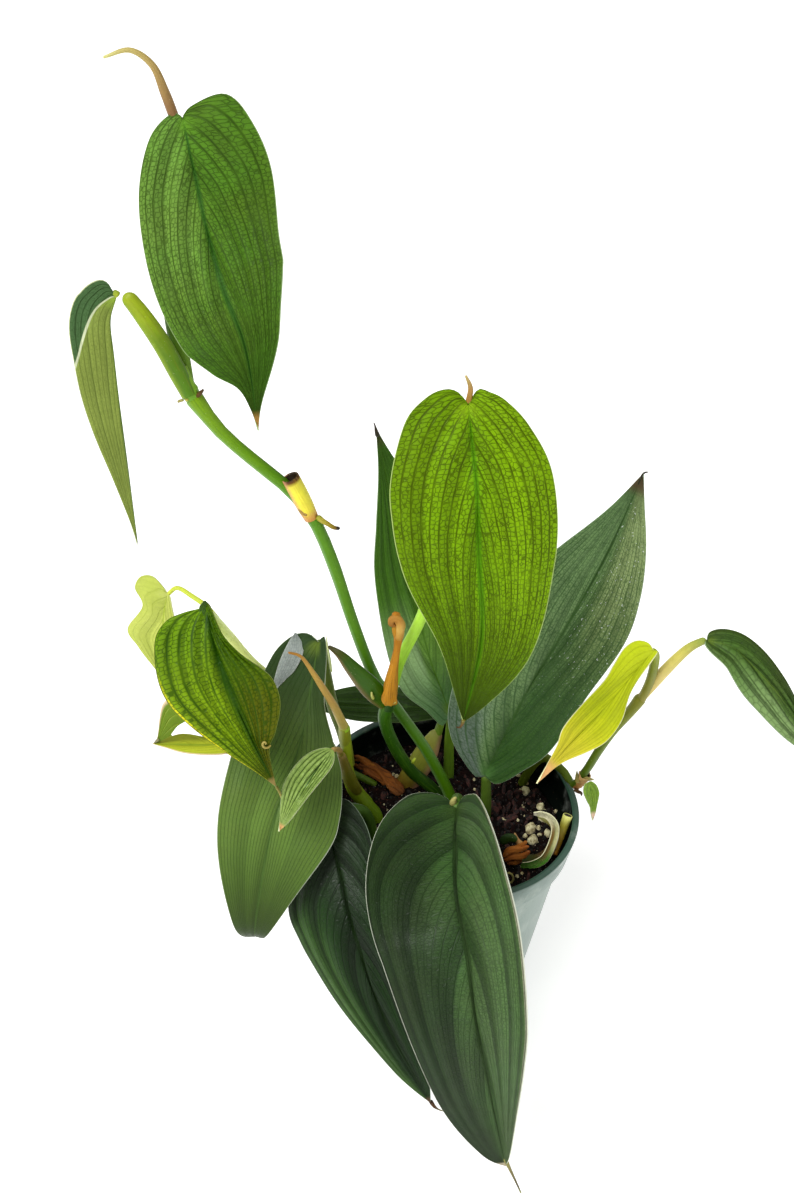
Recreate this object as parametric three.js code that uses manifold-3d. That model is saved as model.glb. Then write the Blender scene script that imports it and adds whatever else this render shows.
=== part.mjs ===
import * as THREE from 'three';
import { mergeVertices } from 'three/addons/utils/BufferGeometryUtils.js';
import Module from 'manifold-3d';

const wasm = await Module();
wasm.setup();

// Driving dimensions, in millimetres
const clearance = 0.3;
const bladeThickness = 0.8;
const bladeSeat = 0.6; // a petiole ends this far behind its leaf's rib
const rowCrowding = 1.5; // above 1, the rows of a blade crowd towards its notch

const pot = {
  height: 92,
  rimRadius: 54,
  lipWidth: 2.7,
  bandHeight: 13,
  bandRadius: 50,
  baseRadius: 43,
  wall: 1.6,
  floor: 2,
  footChamfer: 1.2,
  bandStep: 1.4,
  lipRound: 0.8,
  segments: 40,
  drainRadius: 4.5,
  drainCircle: 31,
  drainCount: 6,
  drainSides: 12,
};

const soil = {
  top: 78,
  edgeDepth: 3,
  rings: 4,
  segments: 24,
  swell: 1.3,
  swellWaves: [0.13, 0.11],
  crumb: 0.6,
  crumbWaves: [0.53, 0.31, 0.47, 0.2],
};

// Colours of the finishes, with their roughness
const finishes = {
  darkLeaf: { color: 0x35523a, roughness: 0.5 },
  midLeaf: { color: 0x4f7a35, roughness: 0.5 },
  brightLeaf: { color: 0x6f9a1c, roughness: 0.45 },
  limeLeaf: { color: 0xb9c93a, roughness: 0.5 },
  paleLeaf: { color: 0xc9dd72, roughness: 0.5 },
  greenStem: { color: 0x55892c, roughness: 0.45 },
  limeStem: { color: 0x9cc23a, roughness: 0.45 },
  oliveStem: { color: 0x76802c, roughness: 0.5 },
  paleSheath: { color: 0xd8cf6a, roughness: 0.6 },
  drySheath: { color: 0xb5682a, roughness: 0.8 },
  newLeaf: { color: 0xc9936a, roughness: 0.5 },
  soil: { color: 0x2a1d18, roughness: 0.95 },
  pot: { color: 0x3f5f55, roughness: 0.45 },
};

// Leaf blades.
// rib is the route of the midrib, from the notch to the tip, in mm.
// face is the way the upper side looks, and faceEnd the same at the tip.
// right and left are the two halves of the outline, seen on the upper side with the tip up:
// each point is the fraction of the rib passed and the distance from the rib, in mm.
// fold lifts each half from the rib, and roll bends it further over the width half, in degrees.
const blades = {
  leaf_top: {
    finish: 'midLeaf',
    rib: [[-107, 6, 351], [-99, -2, 324], [-92, -12, 308], [-83, -22, 293], [-77, -32, 270]],
    face: [-0.1, -0.85, 0.5],
    faceEnd: [-0.1, -1, 0],
    half: 24,
    fold: [12, 12],
    roll: [-25, -25],
    right: [[-0.02, 3], [0.04, 11], [0.19, 18], [0.37, 21], [0.53, 21], [0.7, 18.5], [0.8, 12],
      [0.86, 4.5], [0.93, 1.5]],
    left: [[-0.05, 3.5], [-0.06, 11], [0.05, 20], [0.19, 24], [0.44, 22], [0.7, 12], [0.9, 3.5]],
  },
  leaf_far_left: {
    finish: 'midLeaf',
    rib: [[-128, 0, 295], [-130, -1, 287], [-129, -2, 275], [-127, -4, 253], [-122, -8, 206]],
    face: [-1, -0.12, 0.25],
    half: 20,
    fold: [62, 62],
    roll: [0, 0],
    right: [[-0.02, 3], [0.04, 5], [0.1, 8], [0.19, 11.5], [0.27, 13], [0.43, 12], [0.64, 8],
      [0.8, 3.5], [0.92, 1.2]],
    left: [[-0.05, 4], [-0.05, 8], [0, 12], [0.09, 13.5], [0.3, 13], [0.5, 10], [0.7, 5.5], [0.88, 1.8]],
  },
  leaf_centre: {
    finish: 'brightLeaf',
    rib: [[-13, -18, 279], [-8, -30, 259], [-4, -39, 235], [0, -44, 207], [-2, -46, 173]],
    face: [0, -0.8, 0.55],
    faceEnd: [0, -1, 0.1],
    half: 28,
    fold: [12, 12],
    roll: [-30, -30],
    right: [[-0.04, 3], [-0.05, 7.5], [-0.03, 13.5], [0.03, 20.5], [0.17, 26.5], [0.3, 27.5],
      [0.49, 24], [0.81, 9.5]],
    left: [[-0.04, 3.5], [-0.03, 7], [0, 12], [0.08, 18.5], [0.22, 24.5], [0.44, 24.5], [0.72, 17],
      [0.92, 6]],
  },
  leaf_back: {
    finish: 'darkLeaf',
    rib: [[-3, 20, 121], [-14, 21, 148], [-24, 24, 177], [-34, 28, 209], [-43, 32, 241]],
    face: [0.3, -0.8, 0.5],
    half: 20,
    fold: [10, 10],
    roll: [-20, -20],
    right: [[-0.03, 5], [0.06, 11], [0.2, 16], [0.41, 18], [0.63, 15], [0.81, 8.5], [0.94, 2.5]],
    left: [[-0.03, 5], [0.06, 9.5], [0.17, 15.5], [0.33, 16], [0.56, 13], [0.71, 8], [0.87, 2.5]],
  },
  leaf_right_large: {
    finish: 'darkLeaf',
    rib: [[14, 4, 103], [26, 8, 148], [36, 14, 173], [47, 22, 203], [56, 32, 234]],
    face: [-0.15, -0.8, 0.58],
    half: 30,
    fold: [14, 14],
    roll: [-25, -25],
    right: [[0, 6], [0.08, 12.5], [0.2, 19], [0.43, 21], [0.59, 22], [0.71, 18.5], [0.82, 12.5],
      [0.92, 5.5]],
    left: [[-0.03, 3], [0, 10], [0.06, 19], [0.15, 25], [0.3, 28], [0.51, 27], [0.72, 17.5], [0.89, 6]],
  },
  leaf_low_back: {
    finish: 'darkLeaf',
    rib: [[-5, 32, 111], [-17, 33, 111], [-34, 34, 108], [-53, 34, 107], [-65, 33, 108]],
    face: [0, -0.45, 0.9],
    half: 14,
    rows: 12,
    columns: 2,
    fold: [8, 8],
    roll: [-15, -15],
    right: [[0, 3], [0.19, 6.5], [0.34, 9], [0.53, 9.5], [0.7, 7.5], [0.88, 3.5]],
    left: [[0, 3], [0.18, 7], [0.4, 7.5], [0.68, 6.5], [0.88, 3]],
  },
  leaf_left_large: {
    finish: 'darkLeaf',
    rib: [[-57, 3, 163], [-58, -6, 147], [-60, -20, 131], [-67, -42, 107], [-71, -57, 72], [-70, -45, 53]],
    face: [-0.15, -0.8, 0.55],
    faceEnd: [-0.1, -0.3, -0.9],
    half: 28,
    fold: [12, 12],
    roll: [-25, -20],
    right: [[-0.02, 4], [-0.01, 9.5], [0.04, 15.5], [0.12, 19.5], [0.23, 24], [0.4, 23], [0.61, 18.5],
      [0.81, 10.5], [0.93, 6.5]],
    left: [[-0.02, 2], [0.03, 4], [0.17, 6.2], [0.26, 12], [0.34, 19], [0.45, 23.5], [0.56, 22],
      [0.75, 13], [0.91, 6.5]],
  },
  leaf_left_bright: {
    finish: 'brightLeaf',
    rib: [[-96, -20, 191], [-87, -34, 174], [-76, -44, 156], [-65, -50, 137]],
    face: [-0.15, -0.8, 0.6],
    half: 19,
    fold: [16, 16],
    roll: [-30, -30],
    right: [[-0.05, 3], [-0.04, 7], [0, 13], [0.09, 19.5], [0.24, 23.5], [0.38, 23], [0.52, 18.5],
      [0.85, 5]],
    left: [[0, 2], [0.16, 4], [0.28, 8.5], [0.38, 13.5], [0.47, 16], [0.59, 15], [0.71, 9.5], [0.8, 4]],
  },
  leaf_left_pale: {
    finish: 'paleLeaf',
    rib: [[-114, 2, 179], [-115, -2, 169], [-114, -6, 156], [-111, -10, 141]],
    face: [-0.3, -0.8, 0.5],
    half: 14,
    rows: 12,
    columns: 2,
    fold: [10, 10],
    roll: [-20, -20],
    right: [[-0.06, 2], [-0.13, 7], [-0.09, 12], [0.04, 13.5], [0.18, 9], [0.4, 15], [0.54, 10.5],
      [0.73, 4.5]],
    left: [[0.04, 2], [0.32, 6.5], [0.63, 7.5], [0.9, 4]],
  },
  leaf_left_folded: {
    finish: 'limeLeaf',
    rib: [[-85, -10, 119], [-99, -13, 119], [-117, -17, 121]],
    face: [0, -0.55, 0.85],
    half: 12,
    rows: 12,
    columns: 2,
    fold: [20, 20],
    roll: [10, 10],
    right: [[0.05, 10], [0.25, 17], [0.5, 18.5], [0.72, 16], [0.88, 9]],
    left: [[0.1, 4], [0.36, 4.5], [0.66, 3.5], [0.85, 1.5]],
  },
  leaf_left_small: {
    finish: 'paleLeaf',
    rib: [[-47, -33, 142], [-54, -42, 134], [-63, -54, 119]],
    face: [-0.1, -0.8, 0.6],
    half: 9,
    rows: 12,
    columns: 2,
    fold: [16, 16],
    roll: [-20, -20],
    right: [[0.03, 2.5], [0.17, 6], [0.39, 7.5], [0.59, 7], [0.78, 4]],
    left: [[0.02, 1.6], [0.13, 3.7], [0.31, 3.8], [0.61, 2.6], [0.86, 1.5]],
  },
  leaf_front_left: {
    finish: 'darkLeaf',
    rib: [[-48, -29, 103], [-40, -44, 90], [-31, -61, 72], [-17, -76, 46], [4, -90, 17]],
    face: [-0.28, -0.6, 0.8],
    faceEnd: [-0.2, -1, 0.2],
    half: 26,
    fold: [8, 8],
    roll: [-20, -35],
    right: [[-0.03, 3.5], [-0.01, 9], [0.1, 18], [0.26, 25], [0.37, 23], [0.53, 18], [0.71, 11], [0.88, 6]],
    left: [[-0.04, 5], [-0.03, 11], [0.06, 15], [0.2, 15.5], [0.41, 19], [0.61, 18], [0.85, 8.5]],
  },
  leaf_front: {
    finish: 'darkLeaf',
    rib: [[2, -25, 111], [3, -65, 112], [8, -87, 104], [16, -104, 78], [32, -117, 24]],
    face: [-0.7, -0.45, 1.1],
    faceEnd: [-0.6, -0.95, 0.3],
    half: 28,
    fold: [25, 28],
    roll: [-15, -15],
    right: [[-0.04, 4], [-0.06, 11], [-0.05, 20], [0.04, 30], [0.19, 34], [0.38, 31.5], [0.59, 26],
      [0.82, 19], [0.96, 8]],
    left: [[-0.02, 4], [-0.01, 8], [0.02, 12.5], [0.13, 18.5], [0.33, 26], [0.52, 26], [0.65, 21],
      [0.92, 6]],
  },
  leaf_right_young: {
    finish: 'limeLeaf',
    rib: [[66, -6, 182], [59, -14, 176], [48, -26, 167], [37, -37, 159], [27, -46, 148]],
    face: [0.1, -0.7, 0.7],
    half: 14,
    fold: [14, 14],
    roll: [-20, -20],
    right: [[-0.01, 3.5], [0.03, 7.5], [0.11, 9], [0.23, 8], [0.33, 7], [0.55, 7], [0.69, 6], [0.79, 3]],
    left: [[-0.01, 1.5], [0.07, 2], [0.19, 2.5], [0.3, 4], [0.43, 7.5], [0.57, 8.5], [0.7, 6], [0.84, 2]],
  },
  leaf_right_dark: {
    finish: 'darkLeaf',
    rib: [[86, 0, 185], [98, -3, 183], [112, -8, 172], [125, -12, 158], [139, -16, 143]],
    face: [0.25, -0.55, 0.85],
    half: 14,
    rows: 12,
    columns: 2,
    fold: [12, 12],
    roll: [-25, -25],
    right: [[0, 3], [0.1, 7.5], [0.29, 12], [0.48, 11.5], [0.67, 9], [0.84, 4.5]],
    left: [[0, 3.5], [0.08, 6.5], [0.26, 9.5], [0.42, 9.5], [0.58, 8], [0.82, 4.5]],
  },
  leaf_right_tiny: {
    finish: 'midLeaf',
    rib: [[56, 3, 106], [58.5, 1, 98], [60, -1, 89]],
    face: [0.3, -0.8, 0.5],
    half: 3.5,
    rows: 10,
    columns: 2,
    fold: [14, 14],
    roll: [-10, -10],
    right: [[-0.01, 2.5], [0.15, 3.5], [0.3, 3.3], [0.46, 2.5], [0.6, 1.5], [0.82, 0.8]],
    left: [[0, 1.2], [0.13, 2.8], [0.31, 3.3], [0.44, 2.7], [0.63, 1.8], [0.84, 1.1]],
    stub: { path: [[54.3, 6.8, 104], [55, 4.8, 105.4], [56, 3, 105.8]], radii: [0.7, 0.6, 0.6] },
    clearOf: ['collar_right'],
  },
};

// Stems, petioles and sheaths.
// path is the route of the middle, and radii are spread evenly along it, in mm.
// flat is the thickness of the section over its width, measured towards up.
// blade names the leaf that the last point of a petiole reaches.
// clearOf names the pieces that this one stands clear of where they meet.
const stalks = {
  stem_long: {
    finish: 'greenStem',
    path: [[6, 13, 54], [3, 11, 79], [-8, 10, 103], [-15, 10, 114.5], [-25, 10, 129], [-35, 8, 146],
      [-44, 5, 171],
      [-53, 2.5, 199], [-61, 1, 218.5], [-70.5, 0, 231], [-83, 0, 241], [-94.5, 0, 251], [-104.5, 0, 264]],
    radii: [2.7, 2.6, 2.4, 2.3, 2.2, 2.2, 2.2, 2.2, 2.3, 2.3, 2.3, 2.3, 2.9],
    steps: 26,
    nubs: [
      { path: [[-60, 0, 216], [-56, -1, 215], [-52, -1, 213]], radii: [1.1, 0.8, 0.4] },
      { path: [[-103, 0, 263], [-101, -2, 266]], radii: [1.4, 0.7] },
    ],
  },
  sheath_long: {
    finish: 'paleSheath',
    path: [[-70, -0.5, 236], [-66, 0, 228], [-62, 1, 219.5]],
    radii: [3.3, 3.3, 3.1],
    steps: 4,
    clearOf: ['stem_long'],
  },
  petiole_top: {
    finish: 'greenStem',
    path: [[-105, 0, 265], [-109, 6, 277], [-112, 10, 292], [-112, 13, 318], [-109, 11, 341]],
    radii: [2.4, 3.2, 3, 2.6, 2.2, 1.6],
    flat: 0.6,
    blade: 'leaf_top',
    clearOf: ['stem_long'],
  },
  petiole_far_left: {
    finish: 'limeStem',
    path: [[-105.5, -1.5, 266], [-112, 0, 278], [-119, 0, 289], [-124, 0, 296]],
    radii: [2.4, 3.1, 3.1, 2.6, 1.7],
    flat: 0.75,
    blade: 'leaf_far_left',
    clearOf: ['stem_long', 'petiole_top'],
  },
  new_leaf_top: {
    finish: 'newLeaf',
    path: [[-108, 8.5, 345], [-110, 5, 353], [-112, 4, 359], [-115, 3, 366], [-121, 1, 370],
      [-128, -2, 368]],
    radii: [1, 1.5, 1.5, 1.1, 0.8, 0.4],
    steps: 8,
    clearOf: ['leaf_top', 'petiole_top'],
  },
  stem_centre: {
    finish: 'greenStem',
    path: [[-1, 17, 56], [-3, 15, 78], [-16, 10, 96], [-24, 5, 113], [-29, 1, 130], [-28, -1, 141]],
    radii: [2.8, 2.7, 2.6, 2.6, 2.5, 2.9],
    clearOf: ['stem_long'],
  },
  petiole_centre: {
    finish: 'limeStem',
    path: [[-28, -1, 140], [-26, -2, 160], [-19, -4, 187], [-13, -6, 225], [-10, -8, 258], [-12, -14, 276]],
    radii: [2.6, 2.2, 2.1, 2, 1.9, 1.6],
    blade: 'leaf_centre',
    clearOf: ['stem_centre'],
  },
  sheath_dry: {
    finish: 'drySheath',
    path: [[-28, -4.5, 140], [-28, -7, 156], [-27, -9, 175], [-28, -10, 183], [-29, -11, 191]],
    radii: [2.9, 2.7, 2, 1.3, 1.4, 3, 1.2],
    flat: 0.75,
    steps: 12,
    clearOf: ['stem_centre', 'petiole_centre'],
  },
  sheath_green: {
    finish: 'greenStem',
    path: [[-29, -1, 139], [-36, -3, 149], [-43, -3, 157], [-48, -2, 162], [-53, 0, 164]],
    radii: [2.6, 3.6, 3.6, 2.6, 1.6, 0.6],
    clearOf: ['stem_centre', 'petiole_centre', 'sheath_dry', 'stem_long'],
  },
  new_leaf_centre: {
    finish: 'newLeaf',
    path: [[-13, -17, 280.5], [-13, -18, 285], [-15, -20, 290]],
    radii: [1, 0.8, 0.35],
    sides: 6,
    steps: 4,
    clearOf: ['petiole_centre'],
  },
  petiole_back: {
    finish: 'limeStem',
    path: [[2, 30, 56], [1, 29, 78], [-1, 26, 100], [-2, 22, 116]],
    radii: [2.4, 2.3, 2, 1.6],
    steps: 6,
    blade: 'leaf_back',
  },
  petiole_right_large: {
    finish: 'oliveStem',
    path: [[17, 5, 56], [17, 5, 78], [15, 5, 98]],
    radii: [2.5, 2.4, 1.9],
    steps: 5,
    blade: 'leaf_right_large',
  },
  petiole_low_back: {
    finish: 'limeStem',
    path: [[-6, 29, 102], [-5, 31, 107]],
    radii: [1.9, 1.6, 1.4],
    steps: 4,
    blade: 'leaf_low_back',
    clearOf: ['sheath_low_back'],
  },
  sheath_low_back: {
    finish: 'oliveStem',
    path: [[-20, 18, 60], [-17, 20, 77], [-12, 23, 88], [-8, 27, 98], [-6, 29, 103]],
    radii: [2.9, 3, 3.1, 2.9, 2.4],
    clearOf: ['stem_long', 'stem_centre'],
  },
  stem_left: {
    finish: 'oliveStem',
    path: [[-27, -2, 56], [-28, -2, 78], [-33, -3, 87], [-39, -4, 97], [-42, -5, 109], [-43, -5, 120],
      [-44, -6, 131]],
    radii: [3, 2.9, 2.8, 3.1, 2.5, 2.2, 1.9],
  },
  sheath_left: {
    finish: 'oliveStem',
    path: [[-37.5, -6.5, 96], [-41, -8, 106], [-45, -9, 119]],
    radii: [2, 2.6, 1.8],
    steps: 5,
    clearOf: ['stem_left'],
  },
  sheath_lime: {
    finish: 'limeStem',
    path: [[-41, -2, 108], [-43.5, -5, 122], [-44.5, -8.5, 133]],
    radii: [1.8, 2.4, 2],
    steps: 5,
    clearOf: ['stem_left', 'sheath_left'],
  },
  new_leaf_left: {
    finish: 'newLeaf',
    path: [[-44.3, -8.3, 132], [-48.5, -14, 147], [-52, -17, 156], [-56.5, -20, 166.5], [-61, -22, 175],
      [-65.5, -24, 178]],
    radii: [1.9, 1.7, 1.4, 1.2, 0.8, 0.4],
    clearOf: ['stem_left', 'sheath_lime'],
  },
  petiole_left_large: {
    finish: 'oliveStem',
    path: [[-42.5, -3, 114.5], [-45.5, 1, 122], [-50, 5, 131], [-53, 6.5, 142.5], [-55.5, 7, 156]],
    radii: [2, 2.3, 2.3, 2.1, 1.7],
    blade: 'leaf_left_large',
    clearOf: ['stem_left', 'sheath_lime'],
  },
  shoot_left: {
    finish: 'limeStem',
    path: [[-39, -4, 98], [-54, 5, 117], [-69, 6, 135], [-82, 2, 151], [-90, -5, 168]],
    radii: [1.8, 1.8, 1.8, 2.1],
    clearOf: ['stem_left', 'sheath_left', 'sheath_lime', 'petiole_left_large'],
  },
  petiole_left_bright: {
    finish: 'limeStem',
    path: [[-90, -5, 168], [-94, -12, 179], [-96, -17, 187]],
    radii: [2, 2.4, 1.5],
    steps: 5,
    blade: 'leaf_left_bright',
    clearOf: ['shoot_left'],
  },
  petiole_left_pale: {
    finish: 'limeStem',
    path: [[-90, -4, 168], [-97, -6, 180], [-104, -3, 183], [-110, 1, 183]],
    radii: [1.1, 1, 0.9, 0.8],
    sides: 6,
    steps: 6,
    blade: 'leaf_left_pale',
    clearOf: ['shoot_left', 'petiole_left_bright'],
  },
  petiole_left_folded: {
    finish: 'limeStem',
    path: [[-82, 2, 151], [-82, -2, 137], [-83, -7, 124]],
    radii: [1.3, 1.2, 1.1],
    sides: 6,
    steps: 5,
    blade: 'leaf_left_folded',
    clearOf: ['shoot_left'],
  },
  petiole_left_small: {
    finish: 'newLeaf',
    path: [[-44, -8, 116], [-45.5, -13, 124], [-44.5, -22, 132], [-45.5, -29, 139]],
    radii: [1.2, 1.1, 0.9],
    sides: 6,
    steps: 6,
    blade: 'leaf_left_small',
    clearOf: ['stem_left', 'sheath_left'],
  },
  petiole_front_left: {
    finish: 'greenStem',
    path: [[-29, -13, 56], [-29, -14, 78], [-33, -18, 97], [-42, -25, 105]],
    radii: [2.4, 2.4, 2.2, 1.7],
    blade: 'leaf_front_left',
  },
  petiole_front: {
    finish: 'greenStem',
    path: [[6, 0, 56], [6, 0, 78], [4, -6, 97], [2, -17, 108]],
    radii: [2.5, 2.4, 2.2, 1.8],
    blade: 'leaf_front',
  },
  stem_right: {
    finish: 'greenStem',
    path: [[32, 27, 56], [33, 27, 80], [39, 26, 96], [47, 19.5, 96.5], [51.5, 12.5, 97.5], [54.5, 7.5, 108],
      [57.5, 6, 121], [61, 5, 133], [66, 5, 144], [69, 5, 152]],
    radii: [2.4, 2.2, 1.9, 1.9, 1.7, 1.6, 1.7, 1.8, 2, 2.3],
    steps: 20,
  },
  collar_right: {
    finish: 'drySheath',
    path: [[50.5, 13.5, 97.5], [52.5, 10.3, 100.5], [54, 8, 106]],
    radii: [2.9, 2.9, 3],
    steps: 5,
    clearOf: ['stem_right'],
  },
  petiole_right_young: {
    finish: 'oliveStem',
    path: [[69, 4.5, 152], [70, 4, 159], [69.7, 2, 167], [68.5, -1, 176]],
    radii: [1.7, 1.8, 1.7, 1.3],
    steps: 5,
    blade: 'leaf_right_young',
    clearOf: ['stem_right'],
  },
  petiole_right_dark: {
    finish: 'paleSheath',
    path: [[69.5, 5.5, 152], [74.5, 4, 165.5], [80, 2, 178], [84, 1, 183]],
    radii: [1.9, 2.3, 2.1, 1.5],
    flat: 0.75,
    blade: 'leaf_right_dark',
    clearOf: ['stem_right', 'petiole_right_young'],
  },
  sprout: {
    finish: 'limeStem',
    path: [[27, -18, 66], [31, -19, 79], [38.5, -16.5, 79.5], [43, -13, 81.5], [44.5, -9, 85],
      [43.5, -6, 89],
      [37, -3, 91]],
    radii: [2.5, 2.6, 2.8, 2.6, 2.3, 1.9, 1],
    steps: 14,
  },
  sprout_petiole: {
    finish: 'paleSheath',
    path: [[47, -6.5, 84], [49.5, -3, 93.5]],
    radii: [1.7, 1.6, 1.4],
    steps: 4,
    clearOf: ['sprout'],
  },
  sheath_on_soil: {
    finish: 'drySheath',
    path: [[-38, 27.5, 80.5], [-33, 25, 81.2], [-26, 20, 80.5], [-18, 13, 79.5]],
    radii: [1.2, 3.4, 3.8, 3, 2.2],
    steps: 6,
    flat: 0.6,
    up: [0, 0, 1],
    clearOf: ['sheath_low_back', 'stem_left'],
  },
};

// The pieces that stand in holes in the soil or lie in a hollow of it
const settled = [
  'stem_long', 'stem_centre', 'petiole_back', 'petiole_right_large', 'sheath_low_back', 'stem_left',
  'petiole_front_left', 'petiole_front', 'stem_right', 'sprout', 'sheath_on_soil',
];

function spline(points) {
  const curve = new THREE.CatmullRomCurve3(points.map((p) => new THREE.Vector3(...p)), false, 'catmullrom', 0.5);
  curve.arcLengthDivisions = 240;
  return curve;
}

function blend(a, b, share) {
  return a + (b - a) * share;
}

// Reads a list of values that are spread evenly over 0 to 1
function spread(values, share) {
  const place = THREE.MathUtils.clamp(share, 0, 1) * (values.length - 1);
  const index = Math.min(Math.floor(place), values.length - 2);
  return blend(values[index], values[index + 1], place - index);
}

function solidFrom(positions, triangles) {
  const triVerts = new Uint32Array(triangles);
  return new wasm.Manifold(new wasm.Mesh({ numProp: 3, vertProperties: new Float32Array(positions), triVerts }));
}

function solidFromGeometry(geometry) {
  const bare = geometry.clone();
  bare.deleteAttribute('normal');
  bare.deleteAttribute('uv');
  const merged = mergeVertices(bare, 1e-4);
  const triangles = [];
  for (let i = 0; i < merged.index.count; i += 3) {
    const [a, b, c] = [merged.index.getX(i), merged.index.getX(i + 1), merged.index.getX(i + 2)];
    if (a !== b && b !== c && c !== a) triangles.push(a, b, c);
  }
  return solidFrom(merged.attributes.position.array, triangles);
}

function geometryFromSolid(solid) {
  const mesh = solid.getMesh();
  const geometry = new THREE.BufferGeometry();
  geometry.setAttribute('position', new THREE.BufferAttribute(new Float32Array(mesh.vertProperties), mesh.numProp));
  geometry.setIndex(new THREE.BufferAttribute(new Uint32Array(mesh.triVerts), 1));
  geometry.computeVertexNormals();
  return geometry;
}

// A round or flattened stalk with flat ends, which grow makes thicker all over
function stalk({ path, radii, flat = 1, up = [0, -1, 0], sides = 8, steps = 9 }, grow = 0) {
  const curve = spline(path);
  const reference = new THREE.Vector3(...up);
  const positions = [];
  const triangles = [];
  for (let i = 0; i <= steps; i += 1) {
    const share = i / steps;
    const middle = curve.getPointAt(share);
    const along = curve.getTangentAt(share);
    const side = new THREE.Vector3().crossVectors(reference, along).normalize();
    const high = new THREE.Vector3().crossVectors(along, side);
    if (i === 0) middle.addScaledVector(along, -grow);
    if (i === steps) middle.addScaledVector(along, grow);
    const width = spread(radii, share);
    for (let k = 0; k < sides; k += 1) {
      const angle = (2 * Math.PI * k) / sides;
      const point = middle.clone();
      point.addScaledVector(side, (width + grow) * Math.cos(angle));
      point.addScaledVector(high, (width * flat + grow) * Math.sin(angle));
      positions.push(point.x, point.y, point.z);
      if (i < steps) {
        const next = (k + 1) % sides;
        const [a, b, c, d] = [i * sides + k, i * sides + next, (i + 1) * sides + k, (i + 1) * sides + next];
        triangles.push(a, b, d, a, d, c);
      }
    }
  }
  for (let k = 1; k < sides - 1; k += 1) {
    const last = steps * sides;
    triangles.push(0, k + 1, k, last, last + k, last + k + 1);
  }
  return solidFrom(positions, triangles);
}

// The bent surface that a leaf's flat outline lies on
function leafSurface({ rib, face, faceEnd = face, half, fold, roll }) {
  const curve = spline(rib);
  const length = curve.getLength();
  const startFace = new THREE.Vector3(...face).normalize();
  const endFace = new THREE.Vector3(...faceEnd).normalize();
  return function place(share, across) {
    const onRib = THREE.MathUtils.clamp(share, 0, 1);
    const along = curve.getTangentAt(onRib);
    const middle = curve.getPointAt(onRib).addScaledVector(along, (share - onRib) * length);
    const normal = startFace.clone().lerp(endFace, onRib);
    normal.addScaledVector(along, -normal.dot(along)).normalize();
    const side = new THREE.Vector3().crossVectors(along, normal);
    const rightHand = across >= 0;
    const start = THREE.MathUtils.degToRad(fold[rightHand ? 1 : 0]);
    const bend = THREE.MathUtils.degToRad(roll[rightHand ? 1 : 0]) / half;
    const reach = Math.abs(across);
    const middleAngle = start + (bend * reach) / 2;
    middle.addScaledVector(side, Math.sign(across) * reach * Math.cos(middleAngle));
    return middle.addScaledVector(normal, reach * Math.sin(middleAngle));
  };
}

// One half of the outline as evenly spaced points, moved outwards by grow
function margin(points, length, rows, grow) {
  const flat = [[0, 0], ...points, [1, 0]].map(([share, across]) => new THREE.Vector2(share * length, across));
  const spaced = new THREE.SplineCurve(flat).getSpacedPoints(rows);
  return spaced.map((point, i) => {
    const before = spaced[Math.max(i - 1, 0)];
    const after = spaced[Math.min(i + 1, rows)];
    const outwards = new THREE.Vector2(before.y - after.y, after.x - before.x).normalize();
    if (i === 0) outwards.set(-1, 0);
    if (i === rows) outwards.set(1, 0);
    return point.clone().addScaledVector(outwards, grow);
  });
}

// A thin closed blade: one grid for the upper side, the same for the lower side, and the edge between them
function blade(spec, grow = 0) {
  const place = leafSurface(spec);
  const length = spline(spec.rib).getLength();
  const { rows = 16, columns = 3 } = spec;
  const halves = [margin(spec.left, length, rows, grow), margin(spec.right, length, rows, grow)];
  const width = 2 * columns + 1;
  const surface = [];
  for (let i = 0; i <= rows; i += 1) {
    const ribShare = (i / rows) ** rowCrowding;
    const isEnd = i === 0 || i === rows;
    const steps = isEnd ? [0] : Array.from({ length: width }, (_, k) => k - columns);
    for (const column of steps) {
      const edge = halves[column < 0 ? 0 : 1][i];
      const share = Math.abs(column) / columns;
      const end = isEnd ? 1 : share;
      const across = Math.sign(column) * edge.y * share;
      surface.push(place(blend(ribShare, edge.x / length, end), across));
    }
  }
  const tip = surface.length - 1;
  const row = (i) => (i === 0 ? 0 : 1 + (i - 1) * width);
  const sheet = [];
  for (let k = 0; k < width - 1; k += 1) {
    sheet.push([0, row(1) + k + 1, row(1) + k]);
    sheet.push([tip, row(rows - 1) + k, row(rows - 1) + k + 1]);
    for (let i = 1; i < rows - 1; i += 1) {
      const [a, b, c, d] = [row(i) + k, row(i) + k + 1, row(i + 1) + k, row(i + 1) + k + 1];
      const leaning = k < columns ? [[a, b, c], [b, d, c]] : [[a, b, d], [a, d, c]];
      sheet.push(...leaning);
    }
  }
  const normals = surface.map(() => new THREE.Vector3());
  for (const corners of sheet) {
    const [a, b, c] = corners.map((index) => surface[index]);
    const facing = b.clone().sub(a).cross(c.clone().sub(a));
    for (const index of corners) normals[index].add(facing);
  }
  const thick = bladeThickness / 2 + grow;
  const positions = [];
  for (const sign of [1, -1]) {
    surface.forEach((point, index) => {
      const moved = point.clone().addScaledVector(normals[index].clone().normalize(), sign * thick);
      positions.push(moved.x, moved.y, moved.z);
    });
  }
  const under = surface.length;
  const rightEdge = [0];
  const leftEdge = [0];
  for (let i = 1; i < rows; i += 1) {
    rightEdge.push(row(i) + width - 1);
    leftEdge.push(row(i));
  }
  const loop = [...rightEdge, tip, ...leftEdge.slice(1).reverse()];
  const triangles = sheet.flatMap(([a, b, c]) => [a, b, c, under + a, under + c, under + b]);
  loop.forEach((a, index) => {
    const b = loop[(index + 1) % loop.length];
    triangles.push(b, a, under + a, b, under + a, under + b);
  });
  return solidFrom(positions, triangles);
}

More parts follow.
